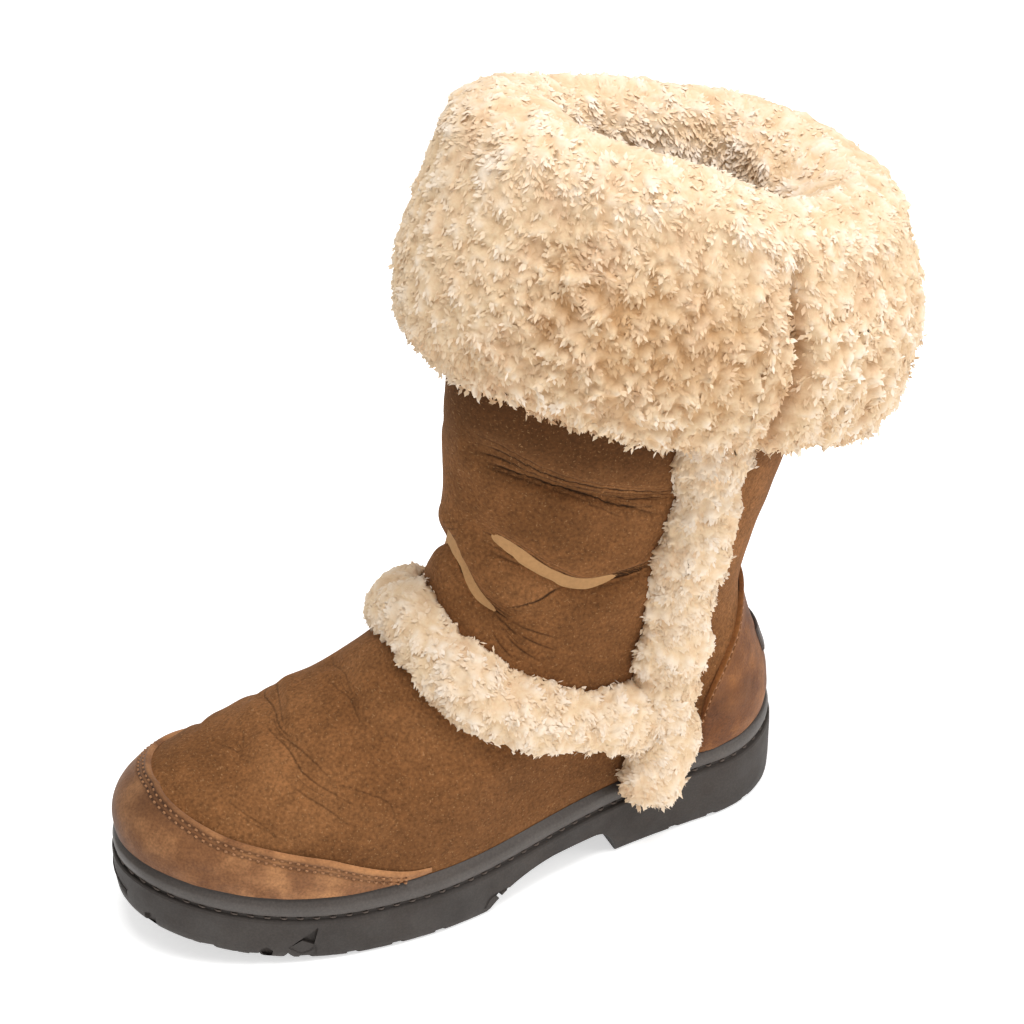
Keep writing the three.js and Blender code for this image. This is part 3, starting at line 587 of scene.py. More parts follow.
def lay_panel(name, edge, from_turn, to_turn, columns, section, pale_edge_reach, taper, seams_at, painted_front_shadow,
              rows_below=26, fine=0.35):
    """A closed leather panel on the upper, with a shaped edge and its back close to the wall.

    It is rubbed pale within a distance of its edge, with a painted highlight on its bead, and thins out
    over its last columns. It has painted shade in its seam troughs and a painted shadow towards the front.
    """
    turn = np.linspace(from_turn, to_turn, columns)
    near = np.arange(0, section[-1][0], fine)
    heights = np.interp(near, *np.transpose(section))
    edge_rows = [panel_place(edge, turn, d) for d in near]
    last = edge_rows[-1]
    share = np.linspace(0, 1, rows_below)[1:, None]
    levels = np.concatenate([edge_rows, last + (PANEL_LOW - last) * share])
    height = np.concatenate([heights, np.full(rows_below - 1, section[-1][1])])[:, None]
    ends = np.clip(np.minimum(np.arange(columns), np.arange(columns)[::-1]) / taper, 0, 1)
    lift = np.clip(height * np.sqrt(ends), PANEL_THIN, None) * np.ones_like(levels)
    face = upper_point(levels, turn)
    lift = lift + 0.18 * ripple(face, 7, 5) * (lift > 1)
    outside = off_upper(levels, turn, lift)
    backs = levels[::-4]
    inside = off_upper(backs, turn, PANEL_BACK)
    from_edge = np.concatenate([near, np.full(rows_below - 1, section[-1][0])])[:, None]
    blotch = 0.5 + 0.5 * ripple(face, 11, 8) + 0.25 * ripple(face, 4, 9)
    # Paler near the edge, rubbed and with a painted highlight on its bead, and in random rubbed blotches
    rub = np.exp(-from_edge / pale_edge_reach) * blotch * 1.2 + 0.35 * np.clip(blotch - 0.75, 0, 1)
    seams = sum(np.exp(-((from_edge - at) / SEAM_HALF) ** 2) for at in seams_at)
    # Painted shade in the seam troughs, and a painted shadow over the front
    dim = SEAM_SHADE * np.clip(seams, 0, 1) * (ends > 0.5) + painted_front_shadow * ease(from_back(turn), 0.4, 0.5)
    rest = np.zeros(backs.shape)
    rub = np.concatenate([rub, rest, rub[:1]])
    dim = np.concatenate([dim, rest, dim[:1]])
    skin_rows = np.concatenate([outside, inside, outside[:1]])
    return lay_grid(name, skin_rows, 60, rub=np.clip(rub, 0, 1), dim=dim)


def nubuck_finish(name, dark, middle, light, gloss):
    """Oiled nubuck: mottled, paler where it is pulled over an edge, with a painted highlight there, and
    with a fine pitted grain.
    """
    material, shader = new_finish(name, Specular_IOR_Level=0.22, Sheen_Weight=0.1)
    mottle = ramp(material, noise(material, 16, 5), [(0.32, dark), (0.5, middle), (0.7, light)])
    grained = speckle(material, mottle, noise(material, 1.0, 5), 0.38, 0.6)
    # Paler where the tag says: rubbed, with a painted highlight at a panel's edge
    rub = ramp(material, read_tag(material, "rub"), [(0.15, grey(0)), (0.9, grey(1))])
    worn_and_highlit = mixed(material, rub, grained, speckle(material, light, noise(material, 1.4, 4), 0.4, 0.6))
    # Painted shade from the tag: in the seam troughs and over the front of the toe
    pressed = mixed(material, read_tag(material, "dim"), worn_and_highlit, srgb(56, 33, 17))
    rough = ramp(material, noise(material, 9, 4), [
        (0.3, grey(gloss)), (0.7, grey(gloss + 0.2))])
    height = bump(material, noise(material, 0.8, 4), 0.25, 0.6)
    wrinkle = bump(material, noise(material, 3.5, 3), 0.35, 0.5, height)
    set_sockets(material, shader, {"Base Color": pressed, "Roughness": rough, "Normal": wrinkle})
    return material


def thread_finish(name, colour):
    material, shader = new_finish(name, Roughness=0.7)
    twist = noise(material, 0.6, 2)
    tone = speckle(material, colour, twist, 0.35, 0.65)
    set_sockets(material, shader, {"Base Color": tone, "Normal": bump(material, twist, 0.2, 0.6)})
    return material


def joined(name, points, faces):
    """Many small bodies as one mesh."""
    mesh = bpy.data.meshes.new(name)
    mesh.from_pydata(to_frame(points).tolist(), [], faces)
    piece = bpy.data.objects.new(name, mesh)
    bpy.context.scene.collection.objects.link(piece)
    mesh.shade_smooth()
    return piece


def travel_along(line):
    """Distance travelled along a line of points, from 0 at its first one."""
    return np.concatenate([[0], np.cumsum(np.linalg.norm(np.diff(line, axis=0), axis=-1))])


def rows_at(places, travel, rows):
    """Rows of three numbers, blended at places along a line."""
    return np.stack([np.interp(places, travel, rows[:, k]) for k in range(3)], -1)


THREAD_SIDES = 6


def sew(name, line, normals, pitch, length, thick, sink):
    """A row of stitches along a line, each a short rounded thread that dives at both ends."""
    travel = travel_along(line)
    middles = np.arange(pitch / 2, travel[-1], pitch)
    along = np.linspace(-0.5, 0.5, 5)
    dive = np.array([-1.0, 0.1, 0.35, 0.1, -1.0])
    girth = np.array([0.55, 1, 1, 1, 0.55])
    angles = np.linspace(0, 2 * np.pi, THREAD_SIDES, endpoint=False)
    points, faces = [], []
    for middle in middles:
        at = middle + along * length
        spine = rows_at(at, travel, line)
        up = unit(rows_at(at, travel, normals))
        ahead = unit(np.gradient(spine, axis=0))
        across = unit(np.cross(up, ahead))
        spine = spine + up * (dive * thick - sink)[:, None]
        first = sum(len(block) for block in points)
        ring = (np.cos(angles)[:, None, None] * across + np.sin(angles)[:, None, None] * up)
        points.append((spine + ring * (girth * thick / 2)[:, None]).transpose(1, 0, 2).reshape(-1, 3))
        last = first + THREAD_SIDES * (len(along) - 1)
        for low in range(first, last, THREAD_SIDES):
            high = low + THREAD_SIDES
            for j in range(THREAD_SIDES):
                after = (j + 1) % THREAD_SIDES
                faces.append((low + j, low + after, high + after, high + j))
        faces.append(tuple(range(first + THREAD_SIDES - 1, first - 1, -1)))
        faces.append(tuple(range(last, last + THREAD_SIDES)))
    return joined(name, np.concatenate(points), faces)


TOE_FROM = TOE_CAP_EDGE[0][0]
TOE_COLUMNS = 260
# Strength of the painted shadow over the front of the toe cap
TOE_FRONT_SHADOW = 0.42
TOE_SEAMS = {"toe_cap_stitches_upper": 2.8, "toe_cap_stitches_lower": 5.2}
toe_cap = lay_panel("toe_cap_nubuck", TOE_CAP_EDGE, TOE_FROM, 1 - TOE_FROM, TOE_COLUMNS, PANEL_SECTION,
                    pale_edge_reach=5, taper=24, seams_at=TOE_SEAMS.values(), painted_front_shadow=TOE_FRONT_SHADOW)
tan_nubuck = nubuck_finish("tan_nubuck", srgb(112, 71, 40), srgb(130, 86, 52), srgb(172, 121, 78), 0.66)
settle(toe_cap, tan_nubuck, "nubuck", "toe_cap")

STITCH = {"pitch": 3.2, "length": 2.1, "thick": 1.0, "sink": 0.1}
STITCHES_FROM = TOE_FROM + 0.012
toe_turns = np.linspace(STITCHES_FROM, 1 - STITCHES_FROM, 400)
for row_name, from_edge_at in TOE_SEAMS.items():
    at_level = panel_place(TOE_CAP_EDGE, toe_turns, from_edge_at)
    seam_height = np.interp(from_edge_at, *np.transpose(PANEL_SECTION))
    stitches = sew(row_name, off_upper(at_level, toe_turns, seam_height),
                   upper_normal(at_level, toe_turns), **STITCH)
    settle(stitches, thread_finish(row_name, srgb(150, 104, 66)), "nubuck")


# Heel counter: a stiff cup of smooth, waxed leather round the back, topstitched along its edge.
# A plain oblong patch is sewn on its back.
COUNTER_EDGE = [(0, 6.5), (0.03, 6.35), (0.061, 5.85), (0.09, 5), (0.113, 4.1), (0.128, 2.6), (0.135, 0.8)]
COUNTER_SECTION = [(0, 0.2), (0.3, 1.4), (0.9, 2.1), (1.7, 2.1), (2.5, 1.55), (3.4, 2.0), (7, 2.0)]
COUNTER_END = COUNTER_EDGE[-1][0]
COUNTER_COLUMNS = 200
COUNTER_SEAM, SEAM_HEIGHT = 2.5, 1.55
PATCH = {"half_turn": 0.04, "low": 2.5, "high": 3.8, "from": 2.3, "to": 3.4}
PATCH_ROWS, PATCH_COLUMNS = 31, 41

counter = lay_panel("heel_counter_leather", COUNTER_EDGE, -COUNTER_END, COUNTER_END, COUNTER_COLUMNS,
                    COUNTER_SECTION, pale_edge_reach=6, taper=5, seams_at=(COUNTER_SEAM,), painted_front_shadow=0.0)
waxed = nubuck_finish("waxed_leather", srgb(90, 52, 24), srgb(108, 64, 31), srgb(144, 93, 50), 0.74)
settle(counter, waxed, "smooth_leather", "heel_counter")

STITCHES_END = COUNTER_END - 0.004
counter_turns = np.linspace(-STITCHES_END, STITCHES_END, 300)
seam_level = panel_place(COUNTER_EDGE, counter_turns, COUNTER_SEAM)
counter_stitches = sew("heel_counter_stitches", off_upper(seam_level, counter_turns, SEAM_HEIGHT),
                       upper_normal(seam_level, counter_turns), **STITCH)
settle(counter_stitches, thread_finish("counter_thread", srgb(160, 112, 72)), "smooth_leather")

share_across, share_up = np.meshgrid(np.linspace(-1, 1, PATCH_COLUMNS), np.linspace(-1, 1, PATCH_ROWS))
crown = np.clip(1.04 - np.maximum(np.abs(share_across), np.abs(share_up)) ** 8, 0, 1) ** 0.5
patch_level = (PATCH["low"] + PATCH["high"]) / 2 + share_up * (PATCH["high"] - PATCH["low"]) / 2
patch_turn = share_across * PATCH["half_turn"]
patch_face = off_upper(patch_level, patch_turn, PATCH["from"] + crown * (PATCH["to"] - PATCH["from"]))
patch_back = off_upper(patch_level, patch_turn, PATCH["from"])
rim = np.ones((PATCH_ROWS, PATCH_COLUMNS), bool)
rim[1:-1, 1:-1] = False
patch_face[rim] = patch_back[rim]
patch_rows = np.concatenate([patch_face, patch_back[::-1]])
patch = lay_grid("heel_patch_leather", patch_rows, 50, rub=np.full(patch_rows.shape[:2], 0.1),
                 dim=np.zeros(patch_rows.shape[:2]))
dark_leather = nubuck_finish("dark_leather", srgb(44, 32, 26), srgb(58, 42, 34), srgb(84, 64, 52), 0.45)
settle(patch, dark_leather, "smooth_leather", "heel_patch")


# Rand and midsole: one moulded rubber cup under the upper, its lip rolled against the suede.
# Below the bead a sewn groove parts it from the outsole.
GAP = 0.3
RAND_LEVEL = 0.5
CUP_FLOOR = 1.7
SOLE_RING = np.array([0, 0, LENGTH, 0, 1, 0.15, 37, 0.66, 53.5, 5, 2.3, 1.0])
SOLE_AROUND, BEAD_ROWS = 360, 25
RAND_STEPS = [(2.2, GAP), (1.3, 0.8), (1.0, 2.2), (0.95, 3.6), (1.3, 5.4), (2.1, 6.7)]


def half_steps(count):
    return (np.arange(count) + 0.5) / count


def sole_edge(turn):
    return ring_point(SOLE_RING, turn)


def off_sole(turn, out, step=1e-4):
    """The sole's outline moved out, and the way out at each of its points."""
    ahead = sole_edge(turn + step) - sole_edge(turn - step)
    outward = unit(np.stack([-ahead[:, 1], ahead[:, 0], np.zeros(len(turn))], -1))
    return sole_edge(turn) + outward * out, outward


def sole_loop(turn, inset, height):
    """The sole's outline drawn in by an inset, at a height that depends on x."""
    points, _ = off_sole(turn, -inset)
    points[:, 2] = height(points[:, 0])
    return points


def closed(rows):
    """Rows of points round a loop, each with its first point again at its end."""
    return np.concatenate([rows, rows[:, :1]], axis=1)


def middle_line(loop):
    """The centre line under a loop: each point meets its partner on the other side."""
    partner = loop[::-1]
    line = (loop + partner) / 2
    line[:, 2] = loop[:, 2]
    return line


def rubber_finish(name, dark, light, gloss):
    """Moulded rubber: nearly even grey, with a fine mould grain, dust and dull scuffs."""
    material, shader = new_finish(name, Specular_IOR_Level=0.45)
    cloud = ramp(material, noise(material, 24, 4), [(0.3, dark), (0.7, light)])
    colour = speckle(material, cloud, noise(material, 0.9, 4), 0.42, 0.6)
    rough = ramp(material, noise(material, 11, 4), [(0.3, grey(gloss)), (0.7, grey(gloss + 0.18))])
    grain = bump(material, noise(material, 0.55, 3), 0.12, 0.6)
    set_sockets(material, shader, {"Base Color": colour, "Roughness": rough, "Normal": grain})
    return material


sole_turns = half_steps(SOLE_AROUND)
rand_loops = [sole_loop(sole_turns, inset, lambda x, lift=lift: sole_line(x) + lift)
              for inset, lift in RAND_STEPS]
lip = off_upper(RAND_LEVEL, sole_turns, GAP)
bead = smooth_path([loop.ravel() for loop in (*rand_loops, lip)], BEAD_ROWS).reshape(BEAD_ROWS, -1, 3)
foot = off_upper(0, sole_turns, GAP)
cup = foot.copy()
cup[:, 2] = sole_line(cup[:, 0]) + CUP_FLOOR
rand_rows = np.concatenate([middle_line(bead[0])[None], bead, [foot, cup, middle_line(cup)]])
rand = lay_grid("rand_rubber", closed(rand_rows), 50)
rand_rubber = rubber_finish("rand_rubber", srgb(66, 59, 54), srgb(78, 71, 66), 0.38)
settle(rand, rand_rubber, "rand_rubber", "midsole_rand")

GROOVE_STITCH = {"pitch": 6.4, "length": 3.6, "thick": 0.9, "sink": 0.3}
GROOVE_INSET, GROOVE_DROP = 1.6, 0.5
groove = sole_loop(sole_turns, GROOVE_INSET, lambda x: sole_line(x) - GROOVE_DROP)
groove_out = unit(groove - middle_line(groove) + np.array([1e-6, 0, 0]))
groove_stitches = sew("rand_groove_stitches", groove, groove_out, **GROOVE_STITCH)
settle(groove_stitches, thread_finish("groove_thread", srgb(84, 72, 64)), "rand_rubber")


# Outsole: one moulding of dark rubber, stepped along its side, with an arch, lugs at the edge,
# small moulded recesses near the toe and a serrated lower edge.
HEEL_BEVEL, BEVEL_LENGTH = 5, 14
SIDE_STEPS = [(3, 0, 0), (1.4, 0, 1.0), (0.6, 0, 2.6), (0.3, 0.25, 0), (0.2, 0.5, 0), (0.1, 0.75, 0),
              (0.2, 1, -2.4), (0.7, 1, -1.6), (2.0, 1, -1.2), (2.2, 1, 0)]
ARCH = {"heel_end": 88, "roof_heel": 99, "roof_ball": 119, "ball_end": 152, "height": 14}
LUG = {"width": 4.5, "depth": 2.4, "reach": 19, "slant": 14}
LUG_PLACES = [24, 42, 60, 172, 190, 208, 226, 244, 260]
NICK = {"width": 3.2, "depth": 1.1, "reach": 7, "slant": 14}
NICK_PLACES = [33, 51, 69, 163, 181, 199, 217, 235, 252, 267]
# Marks moulded into the side: outlines and lines of (turn, height over the tread), and their depths
RECESSES = [
    ([(0.343, 17), (0.3485, 13.5), (0.3545, 9.8), (0.359, 6.6), (0.352, 10.4), (0.346, 8.3)], 1.8),
    ([(0.363, 0.7), (0.36, 3.7), (0.356, 0.1), (0.3595, -3)], 5),
    ([(0.377, 1.5), (0.3745, 4.9), (0.371, 6.3), (0.368, 4.4), (0.369, 0.8)], 3.0),
    ([(0.461, 0.2), (0.4595, 5), (0.453, 6.6), (0.448, 5.1), (0.448, 0.6)], 3.0),
    ([(0.2555, 8.8), (0.252, 8.6), (0.252, 4.2)], 2.5),
]
MARK_LINES = [
    ([(0.346, 8.3), (0.3455, 4.5), (0.347, 0.3)], 0.8),
    ([(0.359, 6.9), (0.355, 4.6), (0.352, 4.0), (0.348, 5.6), (0.346, 8.0)], 0.7),
    ([(0.261, 4), (0.259, 7.5), (0.256, 8.8), (0.252, 8.8), (0.249, 9), (0.247, 6.8)], 0.8),
    ([(0.518, 9.2), (0.473, 10.6), (0.449, 11.5), (0.434, 9.8), (0.415, 9.8), (0.384, 9.0), (0.367, 8.3)],
     0.35),
]
MARK_START = 2.0


def tread_line(x):
    return spring(x) + HEEL_BEVEL * np.clip(1 - x / BEVEL_LENGTH, 0, 1) ** 2


def carve(piece, cutter):
    """Cuts one piece out of another and throws the cutter away."""
    bpy.context.view_layer.objects.active = piece
    cut = piece.modifiers.new("cut", "BOOLEAN")
    cut.operation = "DIFFERENCE"
    cut.solver = "EXACT"
    cut.object = cutter
    bpy.ops.object.modifier_apply(modifier=cut.name)
    bpy.data.objects.remove(cutter)


def join_up(name, parts):
    """Several objects as one, with their places in the mesh."""
    bpy.ops.object.select_all(action="DESELECT")
    for part in parts:
        part.select_set(True)
    bpy.context.view_layer.objects.active = parts[0]
    bpy.ops.object.transform_apply(location=True, rotation=True, scale=True)
    if len(parts) > 1:
        bpy.ops.object.join()
    parts[0].name = parts[0].data.name = name
    parts[0].select_set(False)
    return parts[0]


def turn_at(x, side):
    turn = math.acos(1 - 2 * x / LENGTH) / (2 * math.pi)
    return turn if side > 0 else 1 - turn


def lug_cutter(x, side, lug):
    at = sole_edge(np.array([turn_at(x, side)]))[0]
    place = to_frame(np.array([x, at[1], tread_line(x)]))
    turned = (0, 0, math.radians(side * lug["slant"]))
    bpy.ops.mesh.primitive_cube_add(size=1, location=place, rotation=turned)
    cutter = bpy.context.object
    cutter.scale = (lug["width"] / 1000, 2 * lug["reach"] / 1000, 2 * lug["depth"] / 1000)
    return cutter


def side_point(turn, height, out):
    """Points on the sole's side at heights over the tread, moved out, and the way out."""
    points, outward = off_sole(turn, out)
    points[:, 2] = tread_line(points[:, 0]) + height
    return points, outward


def recess_cutter(outline, depth, side):
    """A prism through the sole's side, from in front of it to a depth."""
    turn, height = np.transpose([*outline, outline[0]])
    turn = turn if side > 0 else 1 - turn
    front, back = (side_point(turn, height, out)[0] for out in (MARK_START, -depth))
    caps = [np.broadcast_to(face[:-1].mean(0), face.shape) for face in (front, back)]
    return lay_grid("recess", np.array([caps[0], front, back, caps[1]]))


def line_cutter(path, radius, side):
    """A round bar along a line on the sole's side, half of it sunk."""
    turn, height = smooth_path(path, 30).T
    spine, outward = side_point(turn if side > 0 else 1 - turn, height, 0.0)
    across = unit(np.cross(np.gradient(spine, axis=0), outward))
    angles = np.linspace(0, 2 * np.pi, 9)[:, None]
    rings = [at + radius * (np.cos(angles) * out + np.sin(angles) * over)
             for at, out, over in zip(spine, outward, across)]
    ends = [np.broadcast_to(spine[k], rings[0].shape) for k in (0, -1)]
    return lay_grid("line", np.array([ends[0], *rings, ends[1]]))


def arch_cutter():
    """A prism through the boot under the waist, with its two ends rounded into the roof."""
    heel, ball, high = ARCH["heel_end"], ARCH["ball_end"], ARCH["height"]
    t = np.linspace(0, 1, 13)[:, None]

    def bow(start, knee, end):
        return (1 - t) ** 2 * np.array(start) + 2 * t * (1 - t) * np.array(knee) + t ** 2 * np.array(end)

    outline = np.concatenate([
        [(heel, -2)], bow((heel, 0), (heel + 2, high), (ARCH["roof_heel"], high)),
        bow((ARCH["roof_ball"], high), (ball - 9, high - 2), (ball, 0)), [(ball, -2)]])
    rows = np.array([np.insert(outline, 1, y, axis=1) for y in (-LENGTH / 4, LENGTH / 4)])
    floor_row = rows.copy()
    floor_row[..., 2] = -2
    return lay_grid("arch", np.concatenate([floor_row[:1], rows, floor_row[1:], floor_row[:1]]))


side_loops = [sole_loop(sole_turns, inset, lambda x, share=share, lift=lift:
                        tread_line(x) + (sole_line(x) - tread_line(x)) * share + lift)
              for inset, share, lift in SIDE_STEPS]
tread_edge = side_loops[0]
tread_rows = [tread_edge + (middle_line(tread_edge) - tread_edge) * k for k in (1, 0.75, 0.5, 0.25)]
sole_rows = np.array([*tread_rows, *side_loops, middle_line(side_loops[-1])])
outsole = lay_grid("outsole_rubber", closed(sole_rows))
carve(outsole, arch_cutter())
for lug, places in ((LUG, LUG_PLACES), (NICK, NICK_PLACES)):
    carve(outsole, join_up("lugs", [lug_cutter(x, side, lug) for x in places for side in (1, -1)]))
for outline, depth in RECESSES:
    carve(outsole, join_up("recesses", [recess_cutter(outline, depth, side) for side in (1, -1)]))
for path, radius in MARK_LINES:
    carve(outsole, join_up("lines", [line_cutter(path, radius, side) for side in (1, -1)]))
smooth(outsole, 30)
sole_rubber = rubber_finish("sole_rubber", srgb(47, 41, 37), srgb(57, 50, 45), 0.62)
settle(outsole, sole_rubber, "sole_rubber", "outsole")


# Insole and lining: the wool side of the skins, sheared, in springy clumps a few millimetres across, cream
# at the tip and tan at the root. The insole is glued in and pressed flat by the foot. The lining is one
# skin with the suede.
def nearest_seed(points, size, seed):
    """Distance to the nearest of seeds scattered in space, in their spacings, and its cell."""
    place = points / size
    base = np.floor(place).astype(np.int64)
    near = np.full(place.shape[:-1], 9.0)
    chosen = np.zeros(base.shape, np.int64)
    for step in np.ndindex(3, 3, 3):
        cell = base + np.array(step) - 1
        spot = cell + np.stack([scramble(cell, seed + k) for k in range(3)], -1)
        distance = np.linalg.norm(spot - place, axis=-1)
        closer = distance < near
        near = np.where(closer, distance, near)
        chosen = np.where(closer[..., None], cell, chosen)
    return near, chosen


def wool(points, size, seed):
    """Soft clumps of a size: height from 0 to 1, a random number and a lean for each clump."""
    swirl = np.stack([ripple(points, 0.8 * size, seed + 5 + k) for k in range(3)], -1)
    near, cell = nearest_seed(points + 0.35 * size * swirl, size, seed)
    lean = np.stack([scramble(cell, seed + k) for k in (8, 9, 11)], -1) - 0.5
    return np.exp(-(near / 0.6) ** 2), scramble(cell, seed + 10), lean


def brushed_pile(points, seed):
    """Soft waves of combed wool, from 0 to 1."""
    waves = 0.22 * ripple(points, 8, seed) + 0.12 * ripple(points, 4, seed + 1)
    return 0.6 + waves + 0.08 * ripple(points, 2, seed + 2)


def fleece_finish(name, root, body, tip, curl):
    """Wool: tan in the crevices, cream at the tips and dull all over, with bumps where it has a curl."""
    material, shader = new_finish(name, Roughness=1.0, Specular_IOR_Level=0.05, Sheen_Weight=0.15,
                                  Sheen_Roughness=0.6, Sheen_Tint=srgb(255, 240, 215))
    tone = ramp(material, read_tag(material, "tone"), [(0.0, root), (0.5, body), (0.95, tip)])
    clouded = speckle(material, tone, noise(material, 16, 3), 0.46, 0.52)
    colour = speckle(material, clouded, noise(material, 1.3, 3), 0.46, 0.53)
    set_sockets(material, shader, {"Base Color": colour})
    if curl:
        curls = bump(material, noise(material, 2.4, 4), 0.7, curl)
        strands = bump(material, noise(material, 0.8, 3), 0.35, curl, curls)
        set_sockets(material, shader, {"Normal": strands})
    return material


lining_fleece = fleece_finish(
    "lining_fleece", srgb(190, 145, 98), srgb(232, 199, 155), srgb(250, 230, 198), 0.4)

INSOLE_INSET = -WALL - 0.7
INSOLE_PILE = 3.0
INSOLE_TOP = 0.3
INSOLE_AROUND, INSOLE_ROWS = 160, 31
insole_turns = half_steps(INSOLE_AROUND)
insole_low = off_upper(0, insole_turns, INSOLE_INSET)
insole_top = off_upper(INSOLE_TOP, insole_turns, INSOLE_INSET)
insole_rows = [middle_line(insole_low), insole_low, insole_top]
for k in np.linspace(0, 1, INSOLE_ROWS)[1:]:
    pressed = insole_top + (middle_line(insole_top) - insole_top) * k
    dents = 0.9 * ripple(pressed, 5, 21) + 0.5 * ripple(pressed, 2.5, 22)
    pressed[:, 2] += INSOLE_PILE * min(1, 4 * k) + dents
    if k == 1:
        pressed[:, 2] = (pressed[:, 2] + pressed[::-1, 2]) / 2
    insole_rows.append(pressed)
insole = lay_grid("insole_fleece", closed(np.array(insole_rows)))
tag(insole, "tone", 0.5 + 0.4 * ripple(np.array([v.co for v in insole.data.vertices]) * 1000, 3, 23))
settle(insole, lining_fleece, "fleece", "insole")

# Levels of its ends, its back and its face from the wall, and the height and size of its clumps
LINING = {"top": 11.5, "low": 0.5, "back": 0.4, "face": 5.5, "pile": 3, "clump": 6.5}
LINING_ROWS, LINING_AROUND = 110, 210
lining_level, lining_turn = np.meshgrid(np.linspace(LINING["top"], LINING["low"], LINING_ROWS),
                                        np.linspace(0, 1, LINING_AROUND + 1), indexing="ij")
pile_at = upper_point(lining_level, np.mod(lining_turn, 1))
curls, _, _ = wool(pile_at, LINING["clump"], 31)
pile_height = 0.7 * curls + 0.3 * brushed_pile(pile_at, 32)
pile_face = off_upper(lining_level, lining_turn, -WALL - LINING["face"] - LINING["pile"] * pile_height)
back_rows = slice(None, None, -4)
pile_back = off_upper(lining_level[back_rows], lining_turn[back_rows], -WALL - LINING["back"])
lining_rows = np.concatenate([pile_face, pile_back, pile_face[:1]])
lining_rows[:, -1] = lining_rows[:, 0]
lining_tone = np.concatenate([pile_height, np.zeros((len(pile_back) + 1, LINING_AROUND + 1))])
lining = lay_grid("shaft_lining_fleece", lining_rows, tone=lining_tone)
settle(lining, lining_fleece, "fleece")


# Side and instep strips: fleece edges of the skins, turned out along both side seams and over the
# instep. Each is a rounded bead of wool 27 to 30 mm wide, in locks that are brushed down.
STRIP = {"side_half": 13.2, "instep_half": 11.6, "height": 9.5, "pile": 3.4, "fringe": 3.0, "lean": 2.0}
STRIP_STATION, STRIP_AROUND, STRIP_BACK_AROUND = 0.85, 49, 8
# Gaps of a strip's edge and of its back from the upper, and the share of its length that an end takes
STRIP_EDGE, STRIP_BACK, STRIP_TAIL = 0.6, 0.4, 0.05
STRIP_CLUMPS = {"large": 5.6, "small": 2.8}
STRIP_LOCK = {"length": 3.1, "width": 1.5, "rise": 0.18}
STRIP_LOCKS_PER_MM = 30
# The lower end hangs free over the rand: from a share of its length, down and out
STRIP_HANG = {"from": 0.88, "drop": 2.0, "out": 4.5, "wisps": 4.0}
SIDE_PATH = [(0.224, 10.3), (0.216, 9.5), (0.208, 8.7), (0.21, 7.73), (0.197, 6.98), (0.183, 5.98),
             (0.171, 4.78), (0.163, 3.62), (0.158, 2.02), (0.165, 0.78), (0.167, 0.1)]
ANKLE_HALF = [(0.158, 2.75), (0.19, 3.5), (0.222, 4.17), (0.293, 5.3), (0.378, 6.25), (0.444, 6.65),
              (0.5, 6.85)]
FALL = np.array([0, 0, -1.0])
# The wool is brushed down, and over the rim to the inner side
BRUSHED = np.array([-0.3, -0.68, -1.0])
# How far a lock follows the brush, its clump's lean and chance, and how much light it takes from above
COMB, SWAY, STRAY, LIT = 0.6, 1.0, 0.15, 0.4
LOCK_SINK = 0.2


def relief_normals(grid, outward):
    """Normals of a grid of points, eased towards the way out of the mass below them."""
    normals = unit(np.cross(np.gradient(grid, axis=0), np.gradient(grid, axis=1)))
    facing = np.sign((normals * outward).sum(-1, keepdims=True))
    return unit(normals * facing + 0.7 * outward)


def grow_locks(name, roots, outward, sway, tones, lock, rng):
    """Locks of wool: thin leaves that lie over each other, combed one way and leaning with their clump.

    A leaf's face is lit like the mass that it lies on, and a little from above, because light passes
    through wool. Its back is lit from where it points.
    """
    count = len(roots)
    drift = COMB * BRUSHED + SWAY * sway + STRAY * rng.normal(size=roots.shape)
    drift = drift - (drift * outward).sum(-1, keepdims=True) * outward
    rise = lock["rise"] * (1 - 0.9 * np.clip(outward[:, 2:], 0, 1))
    along = unit(rise * outward + drift)
    length = lock["length"] * rng.uniform(0.5, 1.3, (count, 1))
    width = lock["width"] * rng.uniform(0.5, 1.3, (count, 1))
    side = unit(np.cross(along, outward + 0.15 * rng.normal(size=roots.shape)))
    face = np.cross(side, along)
    waist = roots + along * length * 0.55 - face * width * 0.12
    points = np.stack([roots, waist + side * width / 2, waist - side * width / 2, roots + along * length],
                      axis=1)
    corners = np.arange(count)[:, None, None] * 4
    faces = (corners + np.array([[0, 1, 3], [0, 3, 2], [1, 2, 3], [1, 0, 2]])).reshape(-1, 3)
    piece = joined(name, points.reshape(-1, 3), faces.tolist())
    above = unit(outward - LIT * FALL)
    below = unit(along - face)
    corner_normals = np.stack([above] * 6 + [below] * 6, axis=1)
    piece.data.normals_split_custom_set(corner_normals.reshape(-1, 3).tolist())
    tag(piece, "tone", np.clip(tones[:, None] + np.array([-0.05, 0, 0, 0.09]), 0, 1))
    return piece


def cover_with_locks(name, raised, outward, lean, tone, count, lock, rng):
    """Locks at random points of a grid of wool, as one piece."""
    root = rng.integers(tone.size, size=count)
    out = relief_normals(raised, outward).reshape(-1, 3)[root]
    locks = grow_locks(name, raised.reshape(-1, 3)[root] - LOCK_SINK * out, out,
                       lean.reshape(-1, 3)[root], tone.ravel()[root], lock, rng)
    settle(locks, cream_locks, "fleece")


cream_fleece = fleece_finish(
    "cream_fleece", srgb(190, 148, 104), srgb(223, 195, 160), srgb(243, 232, 218), 0.35)
cream_locks = fleece_finish(
    "cream_locks", srgb(197, 156, 112), srgb(226, 199, 165), srgb(246, 236, 224), 0.0)


